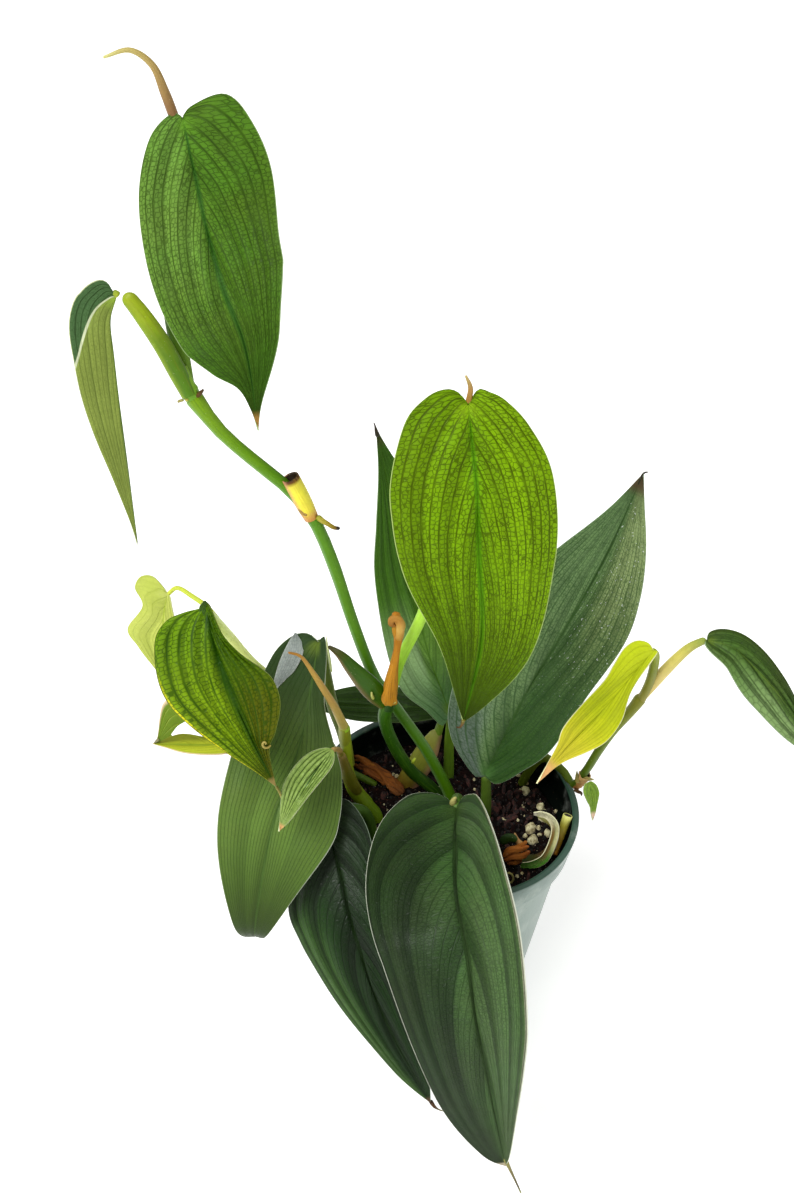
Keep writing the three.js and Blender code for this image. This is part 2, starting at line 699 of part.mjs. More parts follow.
function revolved(profile, segments) {
  const points = profile.map(([radius, height]) => new THREE.Vector2(radius, height));
  return new THREE.LatheGeometry(points, segments).rotateX(Math.PI / 2);
}

function potSolid() {
  const bandBottom = pot.height - pot.bandHeight;
  const inner = pot.rimRadius - pot.lipWidth;
  const shell = revolved([
    [0, 0],
    [pot.baseRadius - pot.footChamfer, 0],
    [pot.baseRadius, pot.footChamfer],
    [pot.bandRadius, bandBottom],
    [pot.rimRadius - pot.bandStep, bandBottom + pot.bandStep],
    [pot.rimRadius, pot.height - pot.lipRound],
    [pot.rimRadius - pot.lipRound, pot.height],
    [inner + pot.lipRound, pot.height],
    [inner, pot.height - pot.lipRound],
    [inner, bandBottom + 2 * pot.bandStep],
    [pot.bandRadius - pot.wall, bandBottom - pot.lipRound],
    [pot.baseRadius - pot.wall, pot.floor],
    [0, pot.floor],
  ], pot.segments);
  let solid = solidFromGeometry(shell);
  for (let i = 0; i < pot.drainCount; i += 1) {
    const angle = (2 * Math.PI * i) / pot.drainCount;
    const hole = new THREE.CylinderGeometry(pot.drainRadius, pot.drainRadius, 4 * pot.floor, pot.drainSides);
    hole.rotateX(Math.PI / 2);
    hole.translate(pot.drainCircle * Math.cos(angle), pot.drainCircle * Math.sin(angle), pot.floor / 2);
    solid = solid.subtract(solidFromGeometry(hole));
  }
  return solid;
}

function soilSolid() {
  const lowest = pot.floor + clearance;
  const lowerRadius = pot.baseRadius - pot.wall - clearance;
  const upperRadius = pot.bandRadius - pot.wall - 2 * clearance;
  const profile = [[0, lowest], [lowerRadius, lowest], [upperRadius, soil.top - soil.edgeDepth]];
  for (let i = 0; i <= soil.rings; i += 1) {
    profile.push([upperRadius * (1 - i / soil.rings), soil.top]);
  }
  const geometry = revolved(profile, soil.segments);
  const position = geometry.attributes.position;
  for (let i = 0; i < position.count; i += 1) {
    const [x, y, z] = [position.getX(i), position.getY(i), position.getZ(i)];
    if (z < soil.top - clearance) continue;
    const swell = soil.swell * Math.sin(soil.swellWaves[0] * x + 1) * Math.cos(soil.swellWaves[1] * y);
    const [a, b, c, d] = soil.crumbWaves;
    const crumb = soil.crumb * Math.sin(a * x + b * y) * Math.cos(c * y - d * x);
    position.setZ(i, z + swell + crumb);
  }
  return solidFromGeometry(geometry);
}

const group = new THREE.Group();
const grown = {};

function addPiece(name, finish, shape, clearOf = []) {
  let solid = shape(0);
  for (const other of clearOf) solid = solid.subtract(grown[other]);
  grown[name] = shape(clearance);
  const { color, roughness } = finishes[finish];
  const material = new THREE.MeshStandardMaterial({ color, roughness, metalness: 0 });
  const mesh = new THREE.Mesh(geometryFromSolid(solid), material);
  mesh.name = name;
  group.add(mesh);
}

function addBlade(name) {
  const spec = blades[name];
  const shape = (grow) => {
    const solid = blade(spec, grow);
    return spec.stub ? solid.add(stalk({ ...spec.stub, sides: 6, steps: 3 }, grow)) : solid;
  };
  addPiece(name, spec.finish, shape, spec.clearOf);
}

function addStalk(name) {
  const spec = stalks[name];
  const route = { ...spec };
  const clearOf = [...(spec.clearOf ?? [])];
  if (spec.blade) {
    const leaf = blades[spec.blade];
    const under = new THREE.Vector3(...leaf.face).normalize().multiplyScalar(-bladeSeat);
    route.path = [...spec.path, leaf.rib[0].map((value, axis) => value + under.getComponent(axis))];
    clearOf.push(spec.blade);
  }
  const shape = (grow) => {
    let solid = stalk(route, grow);
    for (const nub of spec.nubs ?? []) solid = solid.add(stalk({ ...nub, sides: 6, steps: 3 }, grow));
    return solid;
  };
  addPiece(name, spec.finish, shape, clearOf);
}

// These two stand clear of pieces that are added before them
const later = ['petiole_low_back', 'leaf_right_tiny'];
const inOrder = [...Object.keys(blades), ...Object.keys(stalks)].filter((name) => !later.includes(name));
for (const name of [...inOrder, ...later]) {
  if (blades[name]) addBlade(name);
  else addStalk(name);
}

addPiece('pot', 'pot', potSolid);
addPiece('soil', 'soil', soilSolid, settled);

export default group;
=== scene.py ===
import math

import bpy
import numpy as np
from mathutils import Matrix, Vector, noise


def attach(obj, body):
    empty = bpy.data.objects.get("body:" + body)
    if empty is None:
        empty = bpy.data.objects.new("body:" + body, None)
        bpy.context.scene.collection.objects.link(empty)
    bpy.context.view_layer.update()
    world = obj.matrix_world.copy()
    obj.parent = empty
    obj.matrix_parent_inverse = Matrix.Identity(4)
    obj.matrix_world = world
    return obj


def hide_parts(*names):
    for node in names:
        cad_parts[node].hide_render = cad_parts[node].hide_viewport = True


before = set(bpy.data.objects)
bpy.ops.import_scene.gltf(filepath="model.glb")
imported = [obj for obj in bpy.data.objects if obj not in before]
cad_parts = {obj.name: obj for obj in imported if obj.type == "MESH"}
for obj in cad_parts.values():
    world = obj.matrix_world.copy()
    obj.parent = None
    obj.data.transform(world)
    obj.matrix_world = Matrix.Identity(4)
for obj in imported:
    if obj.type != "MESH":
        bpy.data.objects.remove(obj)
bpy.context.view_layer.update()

mm = 0.001


def paint(code):  # a hex colour as the linear values that a shader takes
    parts = [int(code[k:k + 2], 16) / 255 for k in (0, 2, 4)]
    return [p / 12.92 if p < 0.04045 else ((p + 0.055) / 1.055) ** 2.4 for p in parts] + [1.0]


def clearSelection():
    if bpy.context.object and bpy.context.object.mode != "OBJECT":
        bpy.ops.object.mode_set(mode="OBJECT")
    bpy.ops.object.select_all(action="DESELECT")
    bpy.context.view_layer.objects.active = None


def selectPiece(piece):
    clearSelection()
    piece.select_set(True)
    bpy.context.view_layer.objects.active = piece


def named(name):
    piece = bpy.context.active_object
    piece.name = name
    piece.data.name = name
    return piece


def finishPiece(piece, node=None):
    selectPiece(piece)
    bpy.ops.object.transform_apply(location=True, rotation=True, scale=True)
    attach(piece, "root")
    if node:
        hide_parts(node)


# Camera

view = {
    "place": (-29, -387, 465),
    "pitch": 35.5,  # degrees below level
    "roll": 5.9,
    "lens": 39.07,
    "sensor": 36,
    "nearest": 20,
}


def addCamera(view):
    pitch, roll = math.radians(view["pitch"]), math.radians(view["roll"])
    ahead = Vector((0, math.cos(pitch), -math.sin(pitch)))
    level = Vector((1, 0, 0))
    above = level.cross(ahead)
    right = level * math.cos(roll) + above * math.sin(roll)
    up = above * math.cos(roll) - level * math.sin(roll)
    bpy.ops.object.camera_add()
    camera = named("photoCamera")
    turn = Matrix((right, up, -ahead)).transposed().to_4x4()
    camera.matrix_world = Matrix.Translation(Vector(view["place"]) * mm) @ turn
    camera.data.lens = view["lens"]
    camera.data.sensor_width = view["sensor"]
    camera.data.clip_start = view["nearest"] * mm
    bpy.context.scene.camera = camera


addCamera(view)
print("camera placed")


# Studio: a pale floor, a bright surround and soft lamps

studio = {
    "floor": "f4f4f2",
    "floorSize": 6,
    "floorDrop": 0.3,  # the floor lies this far under the pot, in mm
    "glow": 0.5,  # light that the floor gives back by itself
    "surround": 0.42,
    "sun": ((-0.5, -0.5, 1.0), 2.5, 35),  # from where, strength and softness in degrees
    "lamps": [  # name, from where, size and strength
        ("softKey", (-0.7, -0.6, 0.9), 0.4, 3),
        ("softFill", (0.9, -0.4, 0.5), 0.6, 2),
    ],
    "aim": (0, 0, 0.14),
}


def addLamp(kind, name, place, aim, power):
    bpy.ops.object.light_add(type=kind, location=place)
    lamp = named(name)
    lamp.data.energy = power
    lamp.rotation_euler = (Vector(aim) - Vector(place)).to_track_quat("-Z", "Y").to_euler()
    return lamp.data


def buildStudio(studio):
    clearSelection()
    bpy.ops.mesh.primitive_plane_add(size=studio["floorSize"], location=(0, 0, -studio["floorDrop"] * mm))
    floor = named("paleFloor")
    matt = bpy.data.materials.new("paleFloor")
    matt.use_nodes = True
    inputs = matt.node_tree.nodes["Principled BSDF"].inputs
    inputs["Base Color"].default_value = paint(studio["floor"])
    inputs["Roughness"].default_value = 0.9
    inputs["Emission Color"].default_value = paint("ffffff")
    inputs["Emission Strength"].default_value = studio["glow"]
    floor.data.materials.append(matt)
    world = bpy.data.worlds.new("studioSurround")
    world.use_nodes = True
    inputs = world.node_tree.nodes["Background"].inputs
    inputs["Color"].default_value = paint("ffffff")
    inputs["Strength"].default_value = studio["surround"]
    bpy.context.scene.world = world
    place, strength, softness = studio["sun"]
    addLamp("SUN", "softSun", place, (0, 0, 0), strength).angle = math.radians(softness)
    for name, place, size, power in studio["lamps"]:
        addLamp("AREA", name, place, studio["aim"], power).size = size
    bpy.context.scene.view_settings.view_transform = "Standard"


buildStudio(studio)
print("studio ready")


# Shader helpers

def link(tree, value, socket):
    if isinstance(value, bpy.types.NodeSocket):
        tree.links.new(value, socket)
    else:
        socket.default_value = value


def calc(tree, operation, *values):
    made = tree.nodes.new("ShaderNodeMath")
    made.operation = operation
    for value, socket in zip(values, made.inputs):
        link(tree, value, socket)
    return made.outputs[0]


def times(tree, first, second):
    return calc(tree, "MULTIPLY", first, second)


def fade(tree, value, start, end, low=0.0, high=1.0):  # a soft step between two values
    made = tree.nodes.new("ShaderNodeMapRange")
    made.interpolation_type = "SMOOTHSTEP"
    for socket, given in zip(made.inputs, (value, start, end, low, high)):
        link(tree, given, socket)
    return made.outputs[0]


def mixed(tree, amount, first, second, blend="MIX"):
    made = tree.nodes.new("ShaderNodeMix")
    made.data_type = "RGBA"
    made.blend_type = blend
    for place, value in ((0, amount), (6, first), (7, second)):  # 6 and 7 are the two colours
        link(tree, value, made.inputs[place])
    return made.outputs[2]


def uneven(tree, tone, amount, value, span):  # the tone, made darker and lighter by a value from 0 to 1
    return mixed(tree, amount, tone, calc(tree, "MULTIPLY_ADD", value, span, 1 - span / 2), "MULTIPLY")


def joined(tree, x, y, z=0.0):
    made = tree.nodes.new("ShaderNodeCombineXYZ")
    for value, socket in zip((x, y, z), made.inputs):
        link(tree, value, socket)
    return made.outputs[0]


def parted(tree, vector):
    made = tree.nodes.new("ShaderNodeSeparateXYZ")
    link(tree, vector, made.inputs[0])
    return made.outputs


def charted(tree, name):  # the two values of one of the piece's own maps
    made = tree.nodes.new("ShaderNodeUVMap")
    made.uv_map = name
    return parted(tree, made.outputs["UV"])[:2]


def clouds(tree, where, scale, detail=3.0, roughness=0.5):
    made = tree.nodes.new("ShaderNodeTexNoise")
    link(tree, where, made.inputs["Vector"])
    made.inputs["Scale"].default_value = scale
    made.inputs["Detail"].default_value = detail
    made.inputs["Roughness"].default_value = roughness
    return made.outputs["Fac"]


def cells(tree, where, scale, feature="DISTANCE_TO_EDGE", randomness=1.0):
    made = tree.nodes.new("ShaderNodeTexVoronoi")
    made.feature = feature
    link(tree, where, made.inputs["Vector"])
    made.inputs["Scale"].default_value = scale
    made.inputs["Randomness"].default_value = randomness
    return made.outputs["Distance"]


def flecked(tree, tone, place, code, scale, detail, start, end, amount, roughness=0.5):  # where noise is high
    fleck = fade(tree, clouds(tree, place, scale, detail, roughness), start, end)
    return mixed(tree, times(tree, fleck, amount), tone, paint(code))


def ramp(tree, amount, stops):
    made = tree.nodes.new("ShaderNodeValToRGB")
    link(tree, amount, made.inputs[0])
    marks = made.color_ramp.elements
    while len(marks) < len(stops):
        marks.new(0.5)
    for mark, (place, code) in zip(marks, stops):
        mark.position = place
        mark.color = paint(code)
    return made.outputs["Color"]


def startMaterial(name):
    material = bpy.data.materials.new(name)
    material.use_nodes = True
    tree = material.node_tree
    source = tree.nodes.new("ShaderNodeTexCoord")
    return material, tree, tree.nodes["Principled BSDF"], source.outputs["Object"]


def coat(tree, shader, tone, rough, shine=0.5):
    link(tree, tone, shader.inputs["Base Color"])
    shader.inputs["Roughness"].default_value = rough
    shader.inputs["Specular IOR Level"].default_value = shine


def raised(tree, shader, height, depth, strength=1.0):  # depth in mm
    made = tree.nodes.new("ShaderNodeBump")
    made.inputs["Strength"].default_value = strength
    made.inputs["Distance"].default_value = depth * mm
    link(tree, height, made.inputs["Height"])
    link(tree, made.outputs["Normal"], shader.inputs["Normal"])


# Mesh helpers

weldReach = 0.01  # vertices closer than this are one, in mm
headingReach = 0.004  # share of a line's length on both sides of a place that gives its heading


def startGrid(name, columns, rows):  # with each vertex's place across and along it, from 0 to 1
    clearSelection()
    bpy.ops.mesh.primitive_grid_add(x_subdivisions=columns, y_subdivisions=rows, size=2)
    piece = named(name)
    flat = np.zeros(len(piece.data.vertices) * 3)
    piece.data.vertices.foreach_get("co", flat)
    return piece, (flat[0::3] + 1) / 2, (flat[1::3] + 1) / 2


def bendGrid(piece, places, maps):  # places in mm, and the two values of each map at each vertex
    mesh = piece.data
    mesh.vertices.foreach_set("co", (places * mm).ravel())
    corners = np.zeros(len(mesh.loops), int)
    mesh.loops.foreach_get("vertex_index", corners)
    mesh.uv_layers[0].name = list(maps)[0]
    for name, values in maps.items():
        if name not in mesh.uv_layers:
            mesh.uv_layers.new(name=name)
        mesh.uv_layers[name].data.foreach_set("uv", np.stack([v[corners] for v in values], axis=1).ravel())
    mesh.update()


def weld():  # leaves the mesh open for more edits
    bpy.ops.object.mode_set(mode="EDIT")
    bpy.ops.mesh.select_all(action="SELECT")
    bpy.ops.mesh.remove_doubles(threshold=weldReach * mm)


def selectNothing(kind):  # opens the mesh with none of its faces or edges selected
    bpy.ops.object.mode_set(mode="EDIT")
    bpy.ops.mesh.select_mode(type=kind)
    bpy.ops.mesh.select_all(action="DESELECT")


def selectFaces(mesh, wanted):
    selectNothing("FACE")
    bpy.ops.object.mode_set(mode="OBJECT")
    for face in mesh.polygons:
        face.select = wanted(face)
    bpy.ops.object.mode_set(mode="EDIT")


def route(points, ends="open", count=420):  # a smooth line, and the length up to each of its places
    p = np.array(points, float)
    if ends == "open":
        p = np.vstack([2 * p[0] - p[1], p, 2 * p[-1] - p[-2]])
    else:
        p = np.vstack([p[0], p, p[-1]])
    t = np.linspace(0, 1, count // (len(points) - 1) + 1)[:, None]
    parts = []
    for a, b, c, d in zip(p, p[1:], p[2:], p[3:]):
        pullStart, pullEnd = (c - a) / 2, (d - b) / 2
        parts.append(b + pullStart * t + (3 * (c - b) - 2 * pullStart - pullEnd) * t ** 2
                     + (2 * (b - c) + pullStart + pullEnd) * t ** 3)
    line = np.vstack([part[:-1] for part in parts] + [parts[-1][-1:]])
    passed = np.r_[0, np.cumsum(np.linalg.norm(np.diff(line, axis=0), axis=1))]
    return line, passed


def walk(line, passed, share):  # places on the line at these shares of its length
    return np.stack([np.interp(share * passed[-1], passed, axis) for axis in line.T], axis=-1)


def unit(v):
    return v / np.linalg.norm(v, axis=-1, keepdims=True)


def heading(line, passed, share):  # the way the line runs there
    after, before = np.clip(share + headingReach, 0, 1), np.clip(share - headingReach, 0, 1)
    return unit(walk(line, passed, after) - walk(line, passed, before))


# Leaves. rib, face, right, left, half, fold and roll follow the model's own, in mm and degrees.

leafMake = {
    "rows": 84,
    "columns": 48,
    "crowding": 1.5,  # rows crowd towards the notch
    "ribWidth": 1.0,
    "ribDepth": 0.25,
    "slitAt": (0.25, 0.26),  # columns on both sides of the slit, as shares of the half
    "smooth": 55,
}

leafLook = {  # what a leaf has unless its own values say otherwise
    "node": None,  # the solid that it replaces
    "thickness": 0.5,
    "fold": (14, 14),
    "roll": (-20, -20),
    "veins": 13,  # long veins in each half
    "bands": 4,  # main veins in each half, each in a shallow valley
    "arcing": False,  # main veins arc out from the rib
    "cross": 0.75,  # strength of the cross veins
    "spray": 0.75,  # how far down the rib the veins keep leaving it
    "ladder": 1.4,  # spacing of the cross veins, mm
    "lanes": 2.0,  # columns of small cells between two long veins
    "loose": 0.6,  # how irregular the cells are
    "veinWidth": 0.15,
    "veinStrength": 0.85,
    # bandStrength: how strong the painted shade in the valleys along the main veins is
    "bandStrength": 0.2,
    "ribWide": 0.7,
    "ribLine": 0.5,  # strength of the thin line on the rib
    "wander": 0.03,  # how much the veins waver
    "specks": None,  # side and strength of white specks
    "shineLevel": 0.18,
    "tintAmount": 0.35,
    "tipStart": 0.93,
    "edgeWide": 0.35,
    "zones": [],  # colour, side (0 both), where it starts and ends across and along, and how strong
    "lobe": None,  # side, start, slope, colour and border of the upper face where it shows below
    "slit": None,  # a gap in the right half: its lower and its upper border
    "paintedShade": None,  # painted shade: a darker colour towards the edges and the tip
    "paintedShadeEdge": 0.5,
    "paintedShadeTip": 0.5,
    "base": None,  # colour near the notch, and where it ends
    "gloss": 0.4,  # roughness of the upper face
    "pleat": 0.55,  # depth of the valleys, mm
    "wave": 0.1,  # height of the waves at the edge, mm
    "waves": 3,
    "faceEnd": None,  # the way the tip faces
}

sheetLook = {
    "columns": 12,
    "rows": 30,
    "bulge": 0.5,
    "crease": 0.0,
    "thickness": 0.3,
    "face": (0, -0.8, 0.6),
    "veins": 5,
    "bands": 1,
    "bandStrength": 0.1,
    "ribWide": 0.05,
    "tipStart": 0.95,
}

allAcross = (-0.1, 0.0)  # start and end of a zone that takes the whole width
allAlong = (1.5, 1.4)  # and of one that takes the whole length

arcs = np.array([  # main veins that arc out: number, how far out they get, where they start, how quickly
    (0, 0, 1.0, 0.15), (0.25, 0.25, 0.68, 0.15), (0.5, 0.5, 0.4, 0.15), (0.75, 0.73, 0.13, 0.12),
    (1.0, 0.9, 0.02, 0.08), (1.25, 0.98, -0.05, 0.06), (1.6, 1.06, -0.25, 0.06)]).T

leafShade = {
    "waverScale": 90,
    "crossLine": (0.085, 0.02),  # a cross vein starts and is full at these distances from its middle
    "fineNet": (3.7, 0.13, 0.28),  # cells for each column, width and strength of the finest net
    "underVeins": 0.6,
    "underBands": 0.35,
    "underRough": 0.12,
    "grainScale": 900,
    "speckScale": 1300,
    "speck": "e8eee8",
    "shine": (0.12, 0.08),  # painted light and shade: the net darkens and its cells lighten by these shares
    "relief": 0.16,
}


def leafPlaces(leaf, share, across):  # points of the leaf's bent surface, and the way it faces there
    line, passed = route(leaf["rib"])
    onRib = np.clip(share, 0, 1)
    forward = heading(line, passed, onRib)
    middle = walk(line, passed, onRib) + forward * ((share - onRib) * passed[-1])[:, None]
    startFace = unit(np.array(leaf["face"], float))
    endFace = unit(np.array(leaf["faceEnd"] or leaf["face"], float))
    facing = startFace + (endFace - startFace) * onRib[:, None]
    facing = unit(facing - forward * np.sum(facing * forward, axis=1)[:, None])
    side = np.cross(forward, facing)
    half = (across >= 0).astype(int)
    start = np.radians(np.array(leaf["fold"], float))[half]
    bend = np.radians(np.array(leaf["roll"], float))[half] / leaf["half"]
    reach, hand = np.abs(across), np.where(across >= 0, 1.0, -1.0)
    lift = start + bend * reach / 2
    turned = start + bend * reach
    places = middle + side * (hand * reach * np.cos(lift))[:, None] + facing * (reach * np.sin(lift))[:, None]
    normals = facing * np.cos(turned)[:, None] - side * (hand * np.sin(turned))[:, None]
    return places, normals


def leafEdge(points, length, t):  # outline of one half at the share t of its own length
    flat = [(0, 0)] + [(share * length, across) for share, across in points] + [(length, 0)]
    return walk(*route(flat, ends="held"), t)


def veinLines(leaf, c, share):  # grows from the rib to the edge: veins follow equal values
    if not leaf["arcing"]:
        given = leaf["spray"] * np.clip(1 - share, 0, 1) ** 2
        return np.abs(c) * (1 - given) + given
    number = np.linspace(0, arcs[0, -1], 161)
    reach, start, pace = (np.interp(number, arcs[0], row) for row in arcs[1:])
    out = reach * (1 - np.exp(-np.clip(share[:, None] - start, 0, None) / pace))
    out += number * 1e-4
    return np.array([np.interp(abs(k), line, number) for k, line in zip(c, out)])


def openSlit(leaf, c, t):  # moves the columns apart, and says which lie beyond the slit and where it gapes
    along = t ** leafMake["crowding"]
    low, high = (np.interp(along, *zip(*border)) for border in leaf["slit"])
    before, after = leafMake["slitAt"]
    beyond = c > after
    outer = high + (c - after) / (1 - after) * (1 - high)
    return np.where(beyond, outer, np.where(c > 0, c / before * low, c)), beyond, high > low + 0.03


def bladeRelief(leaf, c, share, across, q):  # valleys at the main veins, a groove at the rib, a wavy edge
    inside = (np.clip((1 - np.abs(c)) * 4, 0, 1) * np.clip((0.95 - share) * 2.5, 0, 1)
              * np.clip(share * 8 + 0.3, 0, 1))
    height = -leaf["pleat"] * np.cos(2 * np.pi * q * leaf["bands"]) * inside
    groove = np.exp(-(across / leafMake["ribWidth"]) ** 2) * np.clip((1 - share) * 3, 0, 1)
    height -= leafMake["ribDepth"] * groove
    height += leaf["wave"] * np.abs(c) ** 3 * np.sin(2 * np.pi * leaf["waves"] * share + (c > 0) * 1.7)
    return height


def leafBlade(name, leaf):
    piece, c, t = startGrid(name, leafMake["columns"], leafMake["rows"])
    c = c * 2 - 1
    length = leaf["length"] = route(leaf["rib"])[1][-1]
    if leaf["slit"]:
        c, beyond, gaping = openSlit(leaf, c, t)
    edges = [leafEdge(leaf[half], length, t) for half in ("left", "right")]
    edge = np.where((c >= 0)[:, None], edges[1], edges[0])
    share = t ** leafMake["crowding"] * (1 - np.abs(c)) + edge[:, 0] / length * np.abs(c)
    across = c * edge[:, 1]
    places, normals = leafPlaces(leaf, share, across)
    q = veinLines(leaf, c, share)
    places = places + normals * bladeRelief(leaf, c, share, across, q)[:, None]
    bendGrid(piece, places, {"leafMap": ((c + 1) / 2, share), "veinMap": (q, share)})
    if leaf["slit"]:
        selectFaces(piece.data, lambda face: any(beyond[k] for k in face.vertices)
                    and any(not beyond[k] and gaping[k] for k in face.vertices))
        bpy.ops.mesh.delete(type="FACE")
        bpy.ops.object.mode_set(mode="OBJECT")
    return piece


def sheet(name, leaf):  # a small thin sheet between two edges, for flaps and torn bits
    piece, c, t = startGrid(name, leaf["columns"], leaf["rows"])
    left, right = route(leaf["left"]), route(leaf["right"])
    leaf["length"] = left[1][-1]
    k = c[:, None]
    places = walk(*left, t) * (1 - k) + walk(*right, t) * k
    c = c * 2 - 1
    bulge = leaf["bulge"] * (1 - c ** 2) * np.sin(math.pi * np.clip(t, 0.02, 0.98))
    crease = leaf["crease"] * np.sin(c * 9 + 4 * t) * np.sin(7 * t + 1)
    places += unit(np.array(leaf["face"], float)) * (bulge + crease)[:, None]
    bendGrid(piece, places, {"leafMap": ((c + 1) / 2, t), "veinMap": (np.abs(c), t)})
    return piece


def thicken(piece, name, leaf):
    weld()
    bpy.ops.object.mode_set(mode="OBJECT")
    thick = piece.modifiers.new("thickness", "SOLIDIFY")
    thick.thickness = leaf["thickness"] * mm
    thick.offset = 0
    thick.material_offset = 1
    thick.material_offset_rim = 2
    piece.data.materials.append(leafMaterial(name + "Upper", leaf))
    piece.data.materials.append(leafMaterial(name + "Under", leaf, under=True))
    piece.data.materials.append(edgeMaterial(name + "Edge", leaf))
    bpy.ops.object.modifier_apply(modifier=thick.name)
    bpy.ops.object.shade_smooth_by_angle(angle=math.radians(leafMake["smooth"]))


def edgeMaterial(name, leaf):
    material, tree, shader, place = startMaterial(name)
    tone = mixed(tree, clouds(tree, place, 300), paint(leaf["edge"]), paint(leaf["cell"]))
    coat(tree, shader, mixed(tree, 0.7, tone, paint(leaf["edge"])), 0.5)
    return material


def veinNet(tree, leaf, place, q, c, share):  # strength of the vein lines, and the cells between them
    waver = calc(tree, "MULTIPLY_ADD", clouds(tree, place, leafShade["waverScale"]), leaf["wander"],
                 -leaf["wander"] / 2)
    q = calc(tree, "ADD", q, times(tree, waver, fade(tree, c, 0.0, 0.2)))
    along = times(tree, share, leaf["length"] / leaf["ladder"])
    column = times(tree, q, float(leaf["veins"]))
    longVein = fade(tree, calc(tree, "PINGPONG", column, 0.5), leaf["veinWidth"], 0.02)
    net = cells(tree, joined(tree, times(tree, column, leaf["lanes"]), along), 1.0, randomness=leaf["loose"])
    scale, wide, strength = leafShade["fineNet"]
    fineNet = fade(tree, cells(tree, joined(tree, column, along), scale), wide, 0.0)
    crossVein = fade(tree, net, *leafShade["crossLine"])
    lines = calc(tree, "MAXIMUM", longVein, times(tree, crossVein, leaf["cross"]))
    lines = calc(tree, "MAXIMUM", lines, times(tree, fineNet, strength * leaf["cross"]))
    lines = times(tree, lines, fade(tree, clouds(tree, place, 160, 2.0), 0.3, 0.6, 0.7, 1.0))
    return lines, net, calc(tree, "FRACT", times(tree, q, float(leaf["bands"])))


def bladeTone(tree, leaf, place, signed, c, share, under):  # the ground colour, with the leaf's own zones
    patchy = fade(tree, clouds(tree, place, 45), 0.35, 0.65)
    cell = paint(leaf["underCell"] if under else leaf["cell"])
    tone = mixed(tree, times(tree, patchy, leaf["tintAmount"]), cell, paint(leaf["tint"]))
    for code, side, start, end, low, high, amount in leaf["zones"]:
        zone = fade(tree, times(tree, signed, float(side)) if side else c, start, end)
        zone = times(tree, zone, fade(tree, share, low, high))
        tone = mixed(tree, times(tree, zone, amount), tone, paint(code))
    # painted shade: darker towards the edges and the tip
    if leaf["paintedShade"] and not under:
        outer = times(tree, fade(tree, c, 0.45, 1.0), leaf["paintedShadeEdge"])
        lower = times(tree, fade(tree, share, 0.45, 1.0), leaf["paintedShadeTip"])
        tone = mixed(tree, calc(tree, "MAXIMUM", outer, lower), tone, paint(leaf["paintedShade"]))
    if leaf["base"] and not under:
        code, end = leaf["base"]
        tone = mixed(tree, fade(tree, share, end, 0.0, 0.0, 0.85), tone, paint(code))
    return tone


def ribTone(tree, leaf, tone, vein, c, share):
    fromRib = times(tree, c, calc(tree, "SUBTRACT", 1.2, share))
    rib = fade(tree, fromRib, 0.06 * leaf["ribWide"], 0.006 * leaf["ribWide"], 0.0, 0.9)
    tone = mixed(tree, rib, tone, paint(leaf["ribTone"]))
    tone = mixed(tree, fade(tree, fromRib, 0.008, 0.003, 0.0, leaf["ribLine"]), tone, vein)
    notch = times(tree, fade(tree, share, 0.06, 0.0), fade(tree, c, 0.5, 0.1))
    return mixed(tree, times(tree, notch, 0.7), tone, paint(leaf["notch"]))


def lobeTone(tree, leaf, tone, signed, share, lines):  # where the upper face shows on the underside
    side, start, slope, code, border = leaf["lobe"]
    beyond = calc(tree, "SUBTRACT", times(tree, signed, float(side)), times(tree, share, slope))
    inside = mixed(tree, times(tree, lines, 0.9), paint(code), paint(leaf["vein"]))
    tone = mixed(tree, fade(tree, beyond, start, start + 0.02), tone, inside)
    rim = fade(tree, calc(tree, "ABSOLUTE", calc(tree, "SUBTRACT", beyond, start)), 0.045, 0.02)
    return mixed(tree, rim, tone, paint(border))


def speckTone(tree, leaf, tone, place, signed, share):
    side, amount = leaf["specks"]
    speck = fade(tree, clouds(tree, place, leafShade["speckScale"], 1.0), 0.7, 0.75)
    speck = times(tree, speck, fade(tree, signed, 0.0, 0.1 * side))
    speck = times(tree, speck, fade(tree, share, 0.25, 0.5, 0.0, amount))
    return mixed(tree, speck, tone, paint(leafShade["speck"]))


